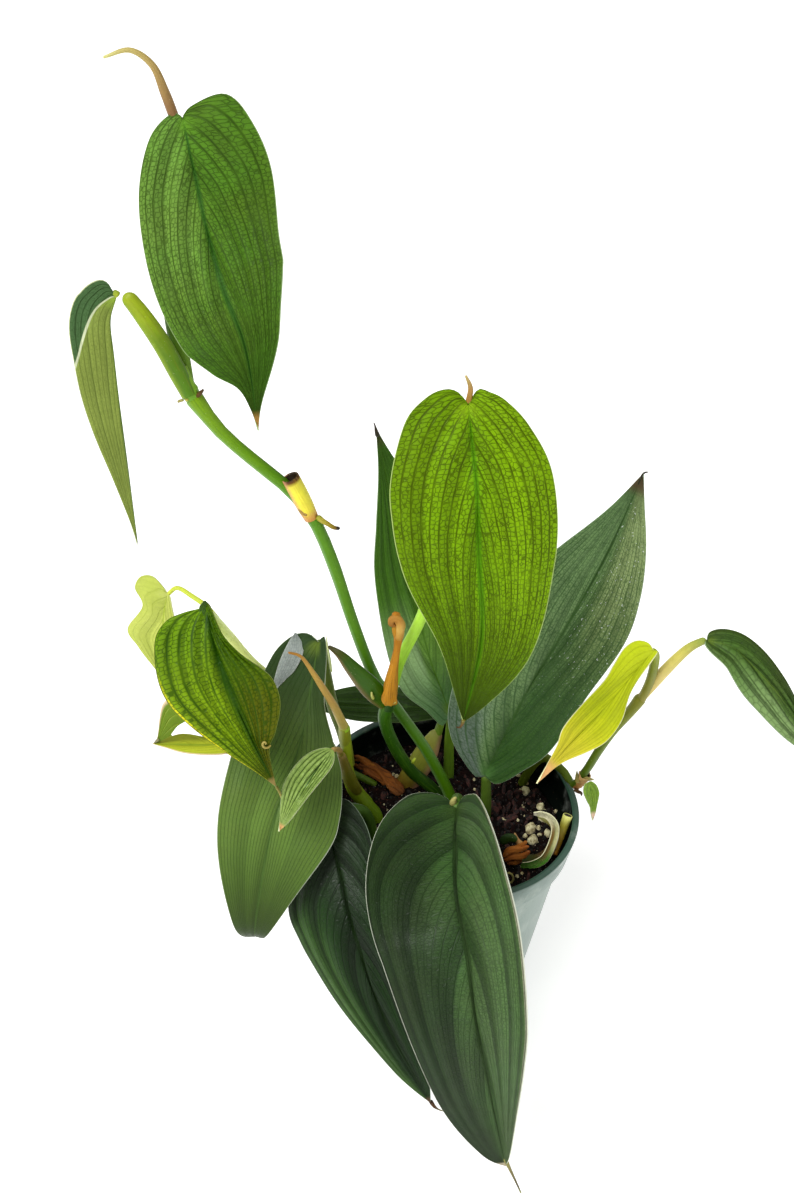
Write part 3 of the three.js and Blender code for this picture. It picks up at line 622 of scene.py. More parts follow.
def leafMaterial(name, leaf, under=False):
    material, tree, shader, place = startMaterial(name)
    vein = paint(leaf["underVein"] if under else leaf["vein"])
    spread, share = charted(tree, "leafMap")
    signed = calc(tree, "MULTIPLY_ADD", spread, 2.0, -1.0)
    c = calc(tree, "ABSOLUTE", signed)
    lines, net, ridge = veinNet(tree, leaf, place, charted(tree, "veinMap")[0], c, share)
    tone = bladeTone(tree, leaf, place, signed, c, share, under)
    # painted shade in the valleys along the main veins, darker on one side of each
    valley = calc(tree, "MAXIMUM", fade(tree, ridge, 0.55, 0.02), fade(tree, ridge, 0.93, 1.0))
    valley = times(tree, valley, fade(tree, share, 0.98, 0.6))
    valley = times(tree, valley, leaf["bandStrength"] * (leafShade["underBands"] if under else 1.0))
    tone = mixed(tree, valley, tone, vein)
    # painted light and shade: the net darker, the cells lighter at their middles and on the ridges
    darker, lighter = (leaf["cross"] * amount for amount in leafShade["shine"])
    shine = fade(tree, net, 0.0, 0.4, 1 - darker, 1 + lighter)
    shine = times(tree, shine, fade(tree, ridge, 0.3, 0.85, 0.94, 1.08))
    tone = mixed(tree, 1.0, tone, shine, "MULTIPLY")
    strength = leaf["veinStrength"] * (leafShade["underVeins"] if under else 1.0)
    tone = mixed(tree, times(tree, lines, strength), tone, vein)
    tone = ribTone(tree, leaf, tone, vein, c, share)
    if leaf["lobe"] and under:
        tone = lobeTone(tree, leaf, tone, signed, share, lines)
    tone = mixed(tree, fade(tree, c, 1 - 0.05 * leaf["edgeWide"], 1.0), tone, paint(leaf["edge"]))
    tip = fade(tree, share, leaf["tipStart"], 0.5 + leaf["tipStart"] / 2)
    tone = mixed(tree, tip, tone, paint(leaf["tip"]))
    if leaf["specks"] and not under:
        tone = speckTone(tree, leaf, tone, place, signed, share)
    grain = clouds(tree, place, leafShade["grainScale"], 2.0)
    tone = uneven(tree, tone, 0.25, grain, 0.8)
    rough = leaf["gloss"] + (leafShade["underRough"] if under else 0)
    coat(tree, shader, tone, rough, leaf["shineLevel"])
    raised(tree, shader, calc(tree, "SUBTRACT", times(tree, grain, 0.15), lines), leafShade["relief"])
    return material


def addLeaf(name, leaf):
    leaf = {**leafLook, **leaf}
    piece = leafBlade(name, leaf)
    thicken(piece, name, leaf)
    finishPiece(piece, leaf["node"])


def addSheet(name, leaf):  # a colour that the sheet doesn't give is that of its cells or veins
    cellTones = dict.fromkeys(("tint", "ribTone", "notch", "underCell"), leaf["cell"])
    leaf = {**leafLook, **sheetLook, **cellTones, "underVein": leaf["vein"], **leaf}
    piece = sheet(name, leaf)
    thicken(piece, name, leaf)
    finishPiece(piece)


addLeaf("leafTop", dict(
    node="leaf_top",
    rib=[(-107, 6, 351), (-99, -2, 324), (-92, -12, 308), (-83, -22, 293), (-77, -32, 270)],
    face=(-0.1, -0.85, 0.5), faceEnd=(-0.1, -1, 0), half=24, fold=(12, 12), roll=(-25, -25),
    right=[(-0.02, 3), (0.04, 11), (0.19, 18), (0.37, 21), (0.53, 21), (0.7, 18.5), (0.8, 12), (0.86, 4.5),
           (0.93, 1.5)],
    left=[(-0.03, 3.5), (-0.045, 14.5), (0.045, 20.4), (0.19, 23.4), (0.4, 21.8), (0.57, 19.9), (0.7, 13.2),
          (0.9, 3)],
    cell="4a761a", vein="253b07", tint="525c1a", ribTone="255212", notch="609024", edge="8aa36a",
    tip="b98d46", underCell="5d7b28", underVein="4a681d",
    ladder=1.3, ribWide=0.9, wave=0.12, gloss=0.42, shineLevel=0.08,
    paintedShade="264506", paintedShadeEdge=0.15, paintedShadeTip=0.75,
    # painted shade and painted light: the 305509 zone darkens one half, the 95bf5d zone lightens the other
    zones=[("305509", -1, 0, 0.5, 0.1, 0.45, 0.2), ("95bf5d", 1, -0.1, 0.3, 0.75, 0.3, 0.25)],
))

addLeaf("leafFarLeft", dict(
    node="leaf_far_left",
    rib=[(-128, 0, 295), (-130, -1, 287), (-129, -2, 275), (-127, -4, 253), (-122, -8, 206)],
    face=(-1, -0.12, 0.25), half=20, fold=(62, 62), roll=(0, 0),
    right=[(-0.02, 3), (0.04, 5), (0.1, 8), (0.19, 11.5), (0.27, 13), (0.43, 12), (0.64, 8), (0.8, 3.5),
           (0.92, 1.2)],
    left=[(-0.05, 4), (-0.05, 8), (0, 12), (0.09, 13.5), (0.3, 13), (0.5, 10), (0.7, 5.5), (0.88, 1.8)],
    cell="62802b", vein="233b14", tint="5d6925", ribTone="516e25", notch="9ebe3f", edge="c6cfa0",
    tip="5f5a40", underCell="94a64c", underVein="4e5f1e",
    tintAmount=0.25, veins=9, bands=3, spray=0.3, veinStrength=0.7, bandStrength=1, cross=0.4, pleat=0.2,
    gloss=0.45, shineLevel=0.12, tipStart=0.97,
    lobe=(-1, 0.25, 3.2, "4a6c3e", "d4dcb4"),
))

addLeaf("leafCentre", dict(
    node="leaf_centre",
    rib=[(-13, -18, 279), (-8, -30, 259), (-4, -39, 235), (0, -44, 207), (-2, -46, 173)],
    face=(0, -0.8, 0.55), faceEnd=(0, -1, 0.1), half=28, fold=(12, 12), roll=(-30, -30),
    right=[(-0.04, 3), (-0.05, 7.5), (-0.03, 13.5), (0.03, 20.5), (0.17, 26.5), (0.3, 27.5), (0.49, 24),
           (0.81, 9.5)],
    left=[(-0.04, 3.5), (-0.03, 7), (0, 12), (0.08, 18.5), (0.22, 24.5), (0.44, 24.5), (0.72, 17),
          (0.92, 6)],
    cell="6b9305", vein="334100", tint="6f8e08", ribTone="417601", notch="84a714", edge="aac070",
    tip="a8893a", underCell="72910f", underVein="60810a",
    tintAmount=0.3, spray=0.65, veinStrength=0.9, bandStrength=0.22, cross=0.8, ladder=1.5, ribWide=0.8,
    wave=0.12, shineLevel=0.06, tipStart=0.99,
    paintedShade="344c01", paintedShadeEdge=0.3, paintedShadeTip=1,
    zones=[("88b40c", -1, 0.15, 0.6, 0.9, 0.5, 0.45), ("2a4500", 1, -0.1, 0.6, 0.3, 0.8, 0.35),
           ("5f9509", 0, 0.16, 0, *allAlong, 0.5)],
))

addLeaf("leafBack", dict(
    node="leaf_back",
    rib=[(-3, 20, 121), (-14, 21, 148), (-24, 24, 177), (-34, 28, 209), (-43, 32, 241)],
    face=(0.3, -0.8, 0.5), half=20, fold=(10, 10),
    right=[(-0.03, 5), (0.06, 11), (0.2, 16), (0.41, 18), (0.63, 15), (0.81, 8.5), (0.94, 2.5)],
    left=[(-0.03, 5), (0.06, 9.5), (0.17, 15.5), (0.33, 16), (0.56, 13), (0.71, 8), (0.87, 2.5)],
    cell="45701b", vein="1f3e07", tint="375914", ribTone="4b721a", notch="688d1e", edge="93a884",
    tip="4f5a2a", underCell="4d6b1e", underVein="405d17",
    tintAmount=0.3, veins=11, veinStrength=0.4, bandStrength=0.22, cross=0.5, wave=0.12, gloss=0.38,
    shineLevel=0.1,
    base=("4f7a48", 0.3),
    # the a0bc8a zone is a painted sheen on the lower part of one half
    zones=[("365b14", 0, *allAcross, 0.35, 0.75, 0.6), ("6e923a", 0, *allAcross, 0.5, 0.15, 0.7),
           ("a0bc8a", -1, 0.12, 0.3, 0.5, 0.2, 0.6)],
))

addLeaf("leafRightLarge", dict(
    node="leaf_right_large",
    rib=[(14, 4, 103), (26, 8, 148), (36, 14, 173), (47, 22, 203), (56, 32, 234)],
    face=(-0.15, -0.8, 0.58), half=30, roll=(-25, -25),
    right=[(0, 6), (0.08, 12.5), (0.2, 19), (0.43, 21), (0.59, 22), (0.71, 18.5), (0.82, 12.5),
           (0.92, 5.5)],
    left=[(-0.015, 3), (0.015, 10), (0.072, 19), (0.155, 25), (0.3, 28), (0.51, 27), (0.72, 17.5),
          (0.89, 6)],
    cell="718f5b", vein="2b4c20", tint="607f48", ribTone="355620", notch="527d3c", edge="9fb09a",
    tip="574a30", underCell="889b63", underVein="6d844e",
    tintAmount=0.25, bandStrength=0.3, cross=0.8, wave=0.12, gloss=0.36,
    paintedShade="3a5829", paintedShadeEdge=0.3, paintedShadeTip=0.3, specks=(1, 0.7),
    # the two 264315 zones are painted shadow over the base, and the 67756b zone is a painted sheen on one
    # lower half
    zones=[("6f7d3a", 1, 0, 0.5, 0.2, 0.7, 0.55), ("264315", 1, -0.1, 0.1, 0.42, 0.1, 0.65),
           ("d5e5a5", 1, 0.1, 0.5, 0.3, 0.6, 0.3), ("264315", 0, 0.35, -0.05, 0.5, 0.1, 0.85),
           ("355821", 1, -0.02, 0.12, 0.85, 0.3, 0.85), ("67756b", -1, 0.2, 0.5, 0.36, 0.1, 0.95)],
))

addLeaf("leafLowBack", dict(
    node="leaf_low_back",
    rib=[(-5, 32, 111), (-17, 33, 111), (-34, 34, 108), (-53, 34, 107), (-65, 33, 108)],
    face=(0, -0.45, 0.9), half=14, fold=(8, 8), roll=(-15, -15),
    right=[(0, 3), (0.19, 6.5), (0.34, 9), (0.53, 9.5), (0.7, 7.5), (0.88, 3.5)],
    left=[(0, 3), (0.18, 7), (0.4, 7.5), (0.68, 6.5), (0.88, 3)],
    cell="2a460a", vein="1a2d05", tint="223909", ribTone="395611", notch="4b6b14", edge="5a7040",
    tip="30401c", underCell="375014", underVein="2a400e",
    tintAmount=0.3, veins=6, bands=2, bandStrength=0.3, wave=0.3,
))

addLeaf("leafLeftLarge", dict(
    node="leaf_left_large",
    rib=[(-57, 3, 163), (-58, -6, 147), (-60, -20, 131), (-67, -42, 107), (-70, -58.6, 70.7),
         (-69, -46.5, 53)],
    face=(-0.15, -0.8, 0.55), faceEnd=(0, -0.3, -0.9), half=28, fold=(7.5, 10.8), roll=(-25, -20),
    right=[(-0.02, 4), (-0.01, 9.5), (0.04, 15.5), (0.12, 19.5), (0.23, 24), (0.4, 23), (0.61, 18.7),
           (0.81, 9.4), (0.93, 2.1)],
    left=[(-0.02, 2), (0.03, 4), (0.17, 6.2), (0.26, 12), (0.34, 19), (0.45, 23.5), (0.56, 22.8),
          (0.75, 11.4), (0.91, 2.1)],
    cell="5a772f", vein="2e471a", tint="5d6d2c", ribTone="456125", notch="6c812a", edge="b4bda6",
    tip="5c5a38", underCell="758347", underVein="5e6b3c",
    veins=18, bands=2, spray=0.6, veinStrength=0.5, bandStrength=0.1, cross=0.25, ladder=1, lanes=1,
    pleat=0.25, tipStart=0.985,
    paintedShade="192c00", paintedShadeEdge=0.2, paintedShadeTip=0.95, base=("22381c", 0.45),
    zones=[("3a5000", 0, *allAcross, 0.5, 0.9, 0.4), ("394d20", 0, *allAcross, 0.35, 0, 0.6)],
))

addLeaf("leafLeftBright", dict(
    node="leaf_left_bright",
    rib=[(-96, -20, 191), (-87, -34, 174), (-76, -44, 156), (-65, -50, 137)],
    face=(-0.15, -0.8, 0.6), half=19, fold=(16, 16), roll=(-30, -30),
    right=[(0, 3), (-0.005, 8), (0.01, 14.5), (0.085, 20.5), (0.24, 23.5), (0.38, 23), (0.52, 18.5),
           (0.85, 5)],
    left=[(0, 2), (0.16, 4), (0.28, 8.5), (0.38, 13.5), (0.47, 16), (0.59, 15), (0.71, 9.5), (0.8, 4)],
    cell="74930a", vein="224000", tint="535901", ribTone="193c00", notch="608a02", edge="6a7428",
    tip="a08a50", underCell="839a0a", underVein="658105",
    tintAmount=0.45, veins=6, bands=5, spray=0.35, veinStrength=0.9, bandStrength=0.35, cross=0.85,
    ladder=1.45, lanes=1.7, loose=0.5, ribWide=2, shineLevel=0.08,
    zones=[("56800b", 0, *allAcross, 0.55, 0.1, 0.6), ("274701", -1, -0.25, 0.2, *allAlong, 0.6),
           ("434301", 0, *allAcross, 0.55, 1, 0.8), ("d4cd1f", 1, 0.94, 0.97, 0.2, 0.45, 0.9),
           ("564f06", -1, -0.1, 0.4, 0.3, 0.6, 0.6)],
))

addLeaf("leafLeftPale", dict(
    node="leaf_left_pale",
    rib=[(-114, 2, 179), (-115, -2, 169), (-114, -6, 156), (-111, -10, 141)],
    face=(-0.3, -0.8, 0.5), half=14, fold=(10, 10),
    right=[(-0.06, 2), (-0.13, 7), (-0.09, 12), (0.04, 13.5), (0.18, 9), (0.4, 15), (0.54, 10.5),
           (0.73, 4.5)],
    left=[(0.04, 2), (0.32, 6.5), (0.63, 7.5), (0.9, 4)],
    cell="a4b049", vein="899932", tint="bcc263", ribTone="96aa2c", notch="b9c167", edge="cfd0a0",
    tip="c8c070", underCell="b6bc57", underVein="9daa3e",
    tintAmount=0.5, veins=7, bands=2, veinStrength=0.3, cross=0.25, lanes=1, pleat=0.2, wave=0.15,
    gloss=0.45,
))

addLeaf("leafLeftFolded", dict(
    node="leaf_left_folded",
    rib=[(-85, -10, 119), (-99, -13, 119), (-117, -17, 121)],
    face=(0, -0.55, 0.85), half=12, fold=(20, 20), roll=(10, 10),
    right=[(0.05, 10), (0.25, 17), (0.4, 19), (0.475, 21), (0.75, 18.6), (0.918, 15.4), (0.95, 2.5)],
    left=[(0.1, 4), (0.36, 4.5), (0.66, 3.5), (0.85, 1.5)],
    slit=([(0.15, 0.3), (0.36, 0.16), (0.51, 0.24), (0.74, 0.3)],
          [(0.15, 0.3), (0.36, 0.6), (0.58, 0.42), (0.74, 0.3)]),
    cell="bac32f", vein="99a526", tint="9faa4a", ribTone="7b9222", notch="b1ba4a", edge="e4c8a8",
    tip="a8a050", underCell="9fb266", underVein="889d50",
    tintAmount=0.4, veins=6, bands=1, veinStrength=0.3, bandStrength=0.35, cross=0.2, pleat=0.1, wave=0.05,
    gloss=0.45, edgeWide=2, tipStart=0.985,
    zones=[("555914", 1, 0.02, 0.16, *allAlong, 0.85), ("647e1f", 1, 0.28, 0.32, *allAlong, 1)],
))

addLeaf("leafLeftSmall", dict(
    node="leaf_left_small",
    rib=[(-47, -33, 142), (-54, -42, 134), (-63, -54, 119)],
    face=(-0.1, -0.8, 0.6), half=9, fold=(16, 16),
    right=[(0.03, 2.5), (0.17, 6), (0.39, 7.5), (0.59, 7), (0.78, 4)],
    left=[(0.02, 1.6), (0.13, 3.7), (0.31, 3.8), (0.61, 2.6), (0.86, 1.5)],
    cell="859f4f", vein="2e5019", tint="90a25e", ribTone="3e602a", notch="96a255", edge="d6dcae",
    tip="c89a60", underCell="8f9f63", underVein="758a4d",
    tintAmount=0.4, veins=5, bands=5, spray=0.3, veinStrength=0.8, veinWidth=0.13, cross=0.35, ladder=2.2,
    lanes=1, gloss=0.42, tipStart=0.9,
))

addLeaf("leafFrontLeft", dict(
    node="leaf_front_left",
    rib=[(-48, -29, 103), (-40, -44, 90), (-31, -61, 72), (-17, -76, 46), (4, -90, 17)],
    face=(-0.28, -0.6, 0.8), faceEnd=(-0.2, -1, 0.2), half=26, fold=(8, 8), roll=(-20, -35),
    right=[(-0.03, 3.5), (-0.01, 9), (0.1, 18), (0.26, 25), (0.37, 23), (0.53, 18), (0.71, 11), (0.88, 6)],
    left=[(-0.04, 5), (-0.03, 11), (0.06, 15), (0.2, 15.5), (0.41, 19), (0.61, 18), (0.85, 8.5)],
    cell="123103", vein="030e01", tint="123004", ribTone="132b02", notch="133102", edge="8fa08a",
    tip="5a4630", underCell="1b3906", underVein="132d03",
    veins=22, spray=0.85, arcing=True, veinStrength=0.6, bandStrength=0.6, cross=0.5, wander=0.008,
    ribLine=0.25, gloss=0.36, tipStart=0.97,
    base=("1c2c16", 0.4),
    # the 476730 zone is a painted sheen along one margin
    zones=[("010700", 0, 0.55, 0.1, -0.1, 0.1, 0.5), ("366011", 1, 0.45, 0.85, 0.15, 0.35, 0.3),
           ("476730", 1, 0.35, 0.95, 0.1, 0.6, 0.9)],
))

addLeaf("leafFront", dict(
    node="leaf_front",
    rib=[(2, -25, 111), (3, -65, 112), (8, -87, 104), (16, -104, 78), (32, -117, 24)],
    face=(-0.7, -0.45, 1.1), faceEnd=(-0.6, -0.95, 0.3), half=28, fold=(25, 28), roll=(-15, -15),
    right=[(-0.04, 4), (-0.06, 11), (-0.05, 20), (0.04, 30), (0.19, 34), (0.38, 31.5), (0.59, 26),
           (0.82, 19), (0.96, 8)],
    left=[(-0.02, 4), (-0.01, 8), (0.02, 12.5), (0.13, 18.5), (0.33, 26), (0.52, 26), (0.65, 21),
          (0.92, 6)],
    cell="3a5929", vein="0c1d09", tint="404a2b", ribTone="344c23", notch="334c19", edge="e0e4d0",
    tip="c9bda0", underCell="40532f", underVein="334525",
    veins=24, spray=0.85, arcing=True, veinStrength=0.55, veinWidth=0.1, bandStrength=0.5, cross=0.7,
    ladder=1, lanes=1.4, wander=0.008, ribWide=0.6, ribLine=0.25, gloss=0.38, edgeWide=0.2, tipStart=0.985,
    zones=[("637f48", -1, 0.1, 0.5, 0.02, 0.12, 0.2), ("081203", 1, 0.1, 0.5, -0.1, 0.1, 0.62),
           ("bebf9e", -1, 0.955, 0.98, 1.2, 0.1, 1)],
))

addLeaf("leafRightYoung", dict(
    node="leaf_right_young",
    rib=[(66, -6, 182), (59, -14, 176), (48, -26, 167), (37, -37, 159), (27, -46, 148)],
    face=(0.1, -0.7, 0.7), half=14,
    right=[(-0.01, 3.5), (0.03, 7.5), (0.11, 9), (0.23, 8), (0.33, 7), (0.55, 7), (0.69, 6), (0.79, 3)],
    left=[(-0.01, 1.5), (0.07, 2), (0.19, 2.5), (0.3, 4), (0.43, 7.5), (0.57, 8.5), (0.7, 6), (0.84, 2)],
    cell="b0b916", vein="919d07", tint="8b9d0d", ribTone="93a009", notch="b6c321", edge="e8e6b4",
    tip="e0ac70", underCell="b8bc26", underVein="a1a719",
    tintAmount=0.45, veins=9, bands=2, veinStrength=0.35, bandStrength=0.15, cross=0.2, pleat=0.3, wave=0.2,
    gloss=0.42, shineLevel=0.1, edgeWide=0.7, tipStart=0.82,
    zones=[("c1d121", 0, *allAcross, 0.45, 0.1, 0.6), ("d9bb3f", 0, *allAcross, 0.45, 0.85, 0.5)],
))

addLeaf("leafRightDark", dict(
    node="leaf_right_dark",
    rib=[(86, 0, 185), (98, -3, 183), (112, -8, 172), (125, -12, 158), (139, -16, 143)],
    face=(0.25, -0.55, 0.85), half=14, fold=(12, 12), roll=(-25, -25),
    right=[(0, 3), (0.1, 7.5), (0.29, 12), (0.48, 11.5), (0.67, 9), (0.84, 4.5)],
    left=[(0, 3.5), (0.08, 6.2), (0.26, 7.4), (0.42, 6.7), (0.58, 5.4), (0.82, 3.2)],
    cell="466628", vein="243712", tint="464e20", ribTone="587129", notch="657d29", edge="8aa078",
    tip="5a5030", underCell="65783c", underVein="51612d",
    tintAmount=0.4, veins=5, bands=3, spray=0.6, veinStrength=0.7, veinWidth=0.1, bandStrength=0.55,
    cross=0.6, ladder=3, lanes=1.5, loose=0.5, wave=0.15, gloss=0.38, shineLevel=0.1,
    # the 98b777 zone is a painted highlight on one half
    zones=[("283307", -1, 0.4, 0.95, *allAlong, 0.75), ("98b777", 1, 0.1, 0.45, 0.05, 0.5, 0.45)],
))

addLeaf("leafRightTiny", dict(
    node="leaf_right_tiny",
    rib=[(56, 3, 106), (58.5, 1, 98), (60, -1, 89)],
    face=(0.3, -0.8, 0.5), half=3.5, roll=(-10, -10), thickness=0.4,
    right=[(-0.01, 2.5), (0.15, 3.5), (0.3, 3.3), (0.46, 2.5), (0.6, 1.5), (0.82, 0.8)],
    left=[(0, 1.2), (0.13, 2.8), (0.31, 3.3), (0.44, 2.7), (0.63, 1.8), (0.84, 1.1)],
    cell="7c9e30", vein="5b801f", tint="8dac40", ribTone="597e1f", notch="8eae3a", edge="b8c88a",
    tip="e4c4a8", underCell="8eaa47", underVein="789636",
    tintAmount=0.3, veins=4, veinStrength=0.6, bandStrength=0.35, pleat=0.1, tipStart=0.72,
))

print("leaves grown")


# Stems, petioles and sheaths. path, radii, flat and up follow the model's own, in mm.

stalkMake = {
    "endRows": 5,
    "endReach": 0.3,  # longest end, as a share of the length
    "cup": [(2, 0.02), (2, 0.66), (0.2, 0.74), (0, 0.88), (0.05, 0.98)],  # rows of a hollow end
    "cupInside": 3,  # so many of them are its inside
    "cupMap": 0.15,  # the inside lies this far beyond the ends of the map
    "radiusSteps": 200,
}

stalkLook = {
    "node": None,
    "sides": 18,
    "rows": 44,
    "rings": [],  # share of the length, height in mm and width as a share
    "stripeCount": 9,
    "stripeStrength": 0.4,
    "ridges": 0.0,  # depth of wrinkles along the piece, as a share of its radius
    "ridgeCount": 6,
    "rough": 0.42,
    "flat": 1,
    "up": (0, -1, 0),
    "ends": None,  # unless given, flat at a root and round elsewhere
    "flank": None,  # another colour on one side: colour, turn in degrees, how strong
    "hollow": "2c2010",  # painted shade inside a cut or open end
    "root": 0,  # how far it starts inside the piece that carries it, in mm
}

twigLook = {"sides": 12, "rows": 24}
scrapLook = {"flat": 0.5, "ridges": 0.3, "ridgeCount": 5, "rough": 0.75}

stalkShade = {
    "waver": (120, 0.08),  # scale and width of the uneven borders between the tones
    "fibreLength": 60,
    "flecks": ("e6e6b8", 1400, 1.0, 0.72, 0.78, 0.2),  # colour, scale, detail, start, end and strength
    "shine": 0.25,
    "relief": (0.25, 0.8),
}


def endRows(kind, reach):  # places and widths of the rows at one end
    if kind == "cup":  # hollow: the wall turns back inside
        places, widths = np.array(stalkMake["cup"]).T
        return reach * places, widths
    turn = np.linspace(0, math.pi / 2, stalkMake["endRows"] + 1)[:-1]
    return reach * (1 - np.cos(turn)), np.sin(turn) if kind == "round" else np.ones(len(turn))


def stalkTube(name, stalk):
    path = np.array(stalk["path"], float)
    if stalk["root"]:
        path[0] -= unit(path[1] - path[0]) * stalk["root"]
    line, passed = route(path)
    length = stalk["length"] = passed[-1]
    rows = stalk["rows"]
    start, end = (min(stalkMake["endReach"], stalk["radii"][k] / length) for k in (0, -1))
    startPlaces, startWidths = endRows(stalk["ends"][0], start)
    endPlaces, endWidths = endRows(stalk["ends"][1], end)
    middleRows = rows + 1 - 2 * stalkMake["endRows"]
    shares = np.r_[startPlaces, np.linspace(start, 1 - end, middleRows), 1 - endPlaces[::-1]]
    widths = np.r_[startWidths, np.ones(middleRows), endWidths[::-1]]
    piece, around, along = startGrid(name, stalk["sides"], rows)
    row = np.rint(along * rows).astype(int)
    share = shares[row]
    middle = walk(line, passed, share)
    forward = heading(line, passed, share)
    side = unit(np.cross(np.array(stalk["up"], float), forward))
    high = np.cross(forward, side)
    steps = np.linspace(0, 1, stalkMake["radiusSteps"])
    radiusLine = walk(*route([(k, r) for k, r in enumerate(stalk["radii"])]), steps)
    radius = np.interp(share, radiusLine[:, 0] / radiusLine[-1, 0], radiusLine[:, 1])
    for at, tall, wide in stalk["rings"]:
        radius = radius + tall * np.exp(-((share - at) / wide) ** 2)
    angle = 2 * math.pi * around
    wrinkle = np.sin(angle * stalk["ridgeCount"] + 5 * np.sin(share * 4))
    wrinkle += 0.5 * np.sin(angle * 3 - share * 9)
    radius = radius * (1 + stalk["ridges"] * wrinkle) * widths[row]
    places = middle + side * (radius * np.cos(angle))[:, None]
    places = places + high * (radius * stalk["flat"] * np.sin(angle))[:, None]
    shown = share.copy()  # the inside of an open end lies beyond 0 or 1 on the map
    if stalk["ends"][0] == "cup":
        shown[row < stalkMake["cupInside"]] = -stalkMake["cupMap"]
    if stalk["ends"][1] == "cup":
        shown[row > rows - stalkMake["cupInside"]] = 1 + stalkMake["cupMap"]
    bendGrid(piece, places, {"stalkMap": (around, shown)})
    weld()
    bpy.ops.mesh.fill_holes(sides=0)
    bpy.ops.mesh.normals_make_consistent(inside=False)
    bpy.ops.object.mode_set(mode="OBJECT")
    bpy.ops.object.shade_smooth()
    return piece


def stalkMaterial(name, stalk):
    material, tree, shader, place = startMaterial(name)
    around, share = charted(tree, "stalkMap")
    angle = times(tree, around, 2 * math.pi)
    scale, width = stalkShade["waver"]
    waver = calc(tree, "MULTIPLY_ADD", clouds(tree, place, scale), width, -width / 2)
    tone = ramp(tree, calc(tree, "ADD", share, waver), stalk["tones"])
    swirl = joined(tree, calc(tree, "COSINE", angle), calc(tree, "SINE", angle),
                   times(tree, share, stalk["length"] / stalkShade["fibreLength"]))
    fibre = clouds(tree, swirl, stalk["stripeCount"] * 0.6, 4.0, 0.6)
    stripe = times(tree, fade(tree, fibre, 0.5, 0.75), stalk["stripeStrength"])
    tone = mixed(tree, stripe, tone, paint(stalk["stripes"]))
    if stalk["flank"]:
        code, turn, amount = stalk["flank"]
        facing = calc(tree, "COSINE", calc(tree, "SUBTRACT", angle, math.radians(turn)))
        tone = mixed(tree, times(tree, fade(tree, facing, 0.1, 0.85), amount), tone, paint(code))
    # painted shade inside a hollow end
    if "cup" in stalk["ends"]:
        inside = calc(tree, "MAXIMUM", fade(tree, share, 1.02, 1.1), fade(tree, share, -0.02, -0.1))
        tone = mixed(tree, inside, tone, paint(stalk["hollow"]))
    tone = flecked(tree, tone, place, *stalkShade["flecks"])
    grain = clouds(tree, place, 500)
    coat(tree, shader, uneven(tree, tone, 0.3, grain, 0.8), stalk["rough"], stalkShade["shine"])
    raised(tree, shader, calc(tree, "ADD", fibre, times(tree, grain, 0.3)), *stalkShade["relief"])
    return material


def addStalk(name, stalk):
    stalk = {**stalkLook, **stalk}
    stalk["ends"] = stalk["ends"] or ("flat" if stalk["root"] else "round", "round")
    piece = stalkTube(name, stalk)
    piece.data.materials.append(stalkMaterial(name + "Skin", stalk))
    finishPiece(piece, stalk["node"])


def addTwig(name, stalk):
    addStalk(name, {**twigLook, **stalk})


def addScrap(name, stalk):
    addTwig(name, {**scrapLook, **stalk})


addStalk("stemLong", dict(
    node="stem_long",
    path=[(6, 13, 54), (3, 11, 79), (-8, 10, 103), (-15, 10, 114.5), (-25, 10, 129), (-35, 8, 146),
          (-44, 5, 171), (-53, 2.5, 199), (-61, 1, 218.5), (-70.5, 0, 231), (-83, 0, 241), (-94.5, 0, 251),
          (-104.5, 0, 264)],
    radii=[2.7, 2.6, 2.4, 2.3, 2.2, 2.2, 2.2, 2.2, 2.3, 2.3, 2.3, 2.3, 2.9],
    rings=[(0.655, 0.35, 0.008), (0.985, 0.4, 0.008)], sides=20,
    tones=[(0, "4d7606"), (0.2, "426e04"), (0.35, "427204"), (0.62, "558706"), (0.8, "518702"),
           (1, "739707")],
    # the flank is painted light: the stem's lit side is lighter
    stripes="2c5901", flank=("86b070", 0, 0.5),
))

addStalk("sheathLong", dict(
    node="sheath_long",
    path=[(-70, -0.5, 236), (-66, 0, 228), (-62, 1, 219.5)],
    radii=[3.2, 3.25, 3.1, 2.6], ends=("cup", "flat"),
    tones=[(0, "3b220c"), (0.05, "6b4418"), (0.12, "e6d946"), (0.3, "f2e943"), (0.75, "eedd43"),
           (0.9, "daa94d"), (1, "c28440")],
    stripes="caa13a", flank=("c89068", 180, 0.85),
))

addStalk("petioleTop", dict(
    node="petiole_top",
    path=[(-105, 0, 265), (-109, 6, 277), (-112, 10, 292), (-112, 13, 318), (-109, 11, 341),
          (-106.94, 6.51, 350.7)],
    radii=[2.4, 3.2, 3, 2.6, 2.2, 1.6], flat=0.6, root=2,
    tones=[(0, "698b1c"), (0.3, "355911"), (0.7, "436722"), (1, "739625")], stripes="2c4c0f",
))

addStalk("petioleFarLeft", dict(
    node="petiole_far_left",
    path=[(-105.5, -1.5, 266), (-112, 0, 278), (-119, 0, 289), (-124.9, 0, 296.6)],
    radii=[2.6, 3.2, 3.2, 3, 2.5], flat=0.75, root=2.5,
    tones=[(0, "4a7402"), (0.3, "4a6e02"), (0.55, "617d04"), (0.75, "889d0f"), (1, "92a21f")],
    stripes="777015", flank=("86a024", 0, 0.75),
))

